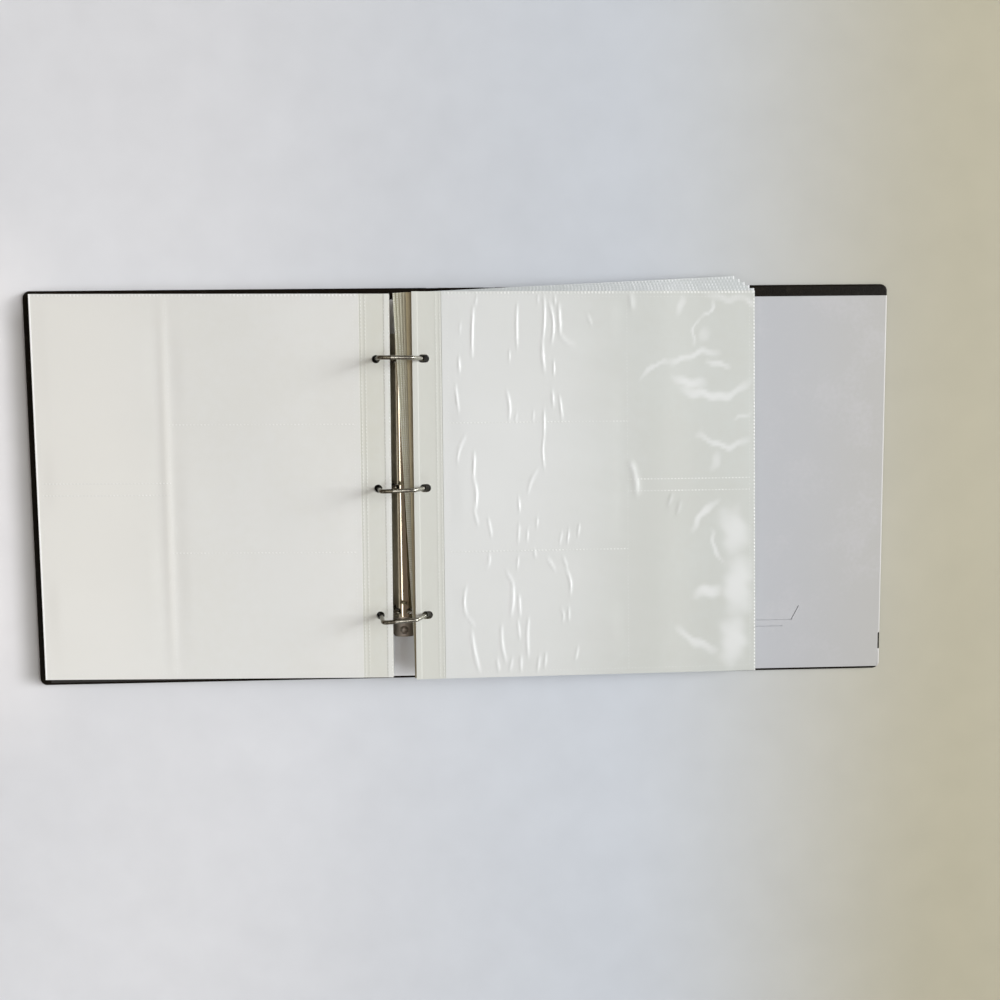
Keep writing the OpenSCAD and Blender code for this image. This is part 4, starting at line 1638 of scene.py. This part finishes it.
@dataclass
class RingMetal:
    """The nickel-plated shell, its rivets, blades and half rings."""

    # The plate is painted darker at its tail end, as painted shade.
    plate: Nickel = Nickel("nickel_plate", rgb(0.66, 0.59, 0.46), rgb(0.54, 0.46, 0.34),
                           Way.LENGTHWISE, (0.04, 0.1), worn_and_shaded_tail=-0.113)
    # The left rings are painted darker than the right ones: painted shade for the darker reflections
    # on their half.
    shaded_wire: Nickel = Nickel("shaded_wire", rgb(0.17, 0.155, 0.12), rgb(0.12, 0.105, 0.08),
                               Way.ALL_ROUND, (0.1, 0.2))
    wire: Nickel = Nickel("nickel_wire", rgb(0.34, 0.33, 0.29), rgb(0.27, 0.26, 0.22),
                          Way.ALL_ROUND, (0.06, 0.14))
    strip: Nickel = Nickel("blade_steel", rgb(0.42, 0.41, 0.39), rgb(0.3, 0.29, 0.27),
                           Way.LENGTHWISE, (0.28, 0.45))

    def build(self, effects: Effects) -> None:
        """Dresses the metal's solids.

        Args:
            effects: The shared effects.
        """
        groups = ((self.plate, ("ring_shell", "shell_rivets")),
                  (self.shaded_wire, ("left_rings",)),
                  (self.wire, ("right_rings",)),
                  (self.strip, ("left_blade", "right_blade")))
        for finish, nodes in groups:
            material = finish.material(effects)
            for node in nodes:
                Bench.dress(frame["nodes"][node], material)
                LOG.info("%s: dressed", node)


@dataclass(frozen=True)
class Softbox:
    """A rectangular light, with its width and height and its power in watts."""

    name: str
    at: Point
    aim: Point
    size: tuple[float, float]
    power: float
    colour: Point = (1.0, 0.99, 0.97)

    def hang(self) -> None:
        """Hangs the light where it faces its aim."""
        Bench.clear()
        bpy.ops.object.light_add(type="AREA", location=self.at)
        light = bpy.context.object
        light.name = self.name
        light.data.shape = "RECTANGLE"
        light.data.size, light.data.size_y = self.size
        light.data.energy = self.power
        light.data.color = self.colour
        way = Vector(self.aim) - Vector(self.at)
        light.rotation_euler = way.to_track_quat("-Z", "Y").to_euler()


ORIGIN = (0.0, 0.0, 0.0)
SOFTBOXES = (
    Softbox("key", (6.8, 1.2, 2.7), ORIGIN, (2.8, 2.6), 530.0, (0.98, 0.99, 1.0)),
    Softbox("fill", (-1.3, -1.2, 1.9), ORIGIN, (0.8, 0.8), 8.0, (0.86, 0.93, 1.0)),
    Softbox("window", (6.2, 0.0, 6.0), ORIGIN, (5.0, 3.6), 410.0, (0.955, 0.985, 1.0)),
    Softbox("overhead", (-0.46, -0.25, 2.2), (-0.46, -0.25, 0.0), (0.22, 2.0), 4.6),
    Softbox("tube", (0.98, -0.2, 2.0), (0.98, -0.2, 0.0), (0.055, 3.6), 2.6),
)


@dataclass
class Studio:
    """The floor, the light and the camera."""

    floor_side: float = 8.0
    floor_drop: float = 0.0001
    camera_at: Point = (-0.01893, 0.06974, 0.67281)
    camera_turn: Point = (-0.06366, -0.02604, -0.01214)
    camera_shift: tuple[float, float] = (0.03973, -0.04581)
    focal_share: float = 0.77842
    sensor_mm: float = 36.0
    clip_start: float = 0.01
    zenith: Colour = rgb(0.2, 0.17, 0.15)
    right_side: Colour = rgb(0.2, 0.17, 0.14)
    left_side: Colour = rgb(0.24, 0.178, 0.13)
    side_span: Span = (-0.8, 0.8)
    zenith_span: Span = (0.0, 0.95)
    lights: tuple[Softbox, ...] = SOFTBOXES

    def build_floor(self, effects: Effects) -> None:
        """Lays the floor.

        Args:
            effects: The shared effects.
        """
        floor = Bench.grid("floor", 2, 2)
        places = Bench.points(floor) * self.floor_side
        places[:, 2] = -self.floor_drop
        Bench.move(floor, places)
        Bench.dress(floor, StagePaper().material(effects))

    def build_sky(self) -> None:
        """Sets the light all round: warm, and a little warmer on the left than on the right."""
        world = bpy.data.worlds.new("studio")
        world.use_nodes = True
        bench = ShaderBench(world.node_tree)
        right, _, up = bench.split(bench.add("ShaderNodeTexCoord").outputs["Generated"])
        sides = bench.mix(bench.span(right, *self.side_span), self.left_side, self.right_side)
        sky = bench.mix(bench.span(up, *self.zenith_span), sides, self.zenith)
        bench.feed(world.node_tree.nodes["Background"].inputs["Color"], sky)
        bpy.context.scene.world = world

    def build_light(self) -> None:
        """Hangs every light."""
        self.build_sky()
        for softbox in self.lights:
            softbox.hang()

    def add_camera(self) -> None:
        """Sets the camera where the album is seen from almost straight above."""
        Bench.clear()
        bpy.ops.object.camera_add(location=self.camera_at, rotation=self.camera_turn)
        camera = bpy.context.object
        camera.data.sensor_width = self.sensor_mm
        camera.data.lens = self.focal_share * self.sensor_mm
        camera.data.shift_x, camera.data.shift_y = self.camera_shift
        camera.data.clip_start = self.clip_start
        bpy.context.scene.camera = camera

    def build(self, effects: Effects) -> None:
        """Sets up the whole stage.

        Args:
            effects: The shared effects.
        """
        self.build_floor(effects)
        self.build_light()
        self.add_camera()
        bpy.context.scene.view_settings.view_transform = "Standard"
        LOG.info("studio: floor, light and camera")


def main() -> None:
    """Builds the album's sub-assemblies in order, then the stage."""
    logging.basicConfig(level=logging.INFO, format="%(name)s %(message)s")
    effects = Effects()
    Covers().build(effects)
    RingMetal().build(effects)
    LeafStacks().build(effects)
    Studio().build(effects)


if __name__ == "__main__":
    main()
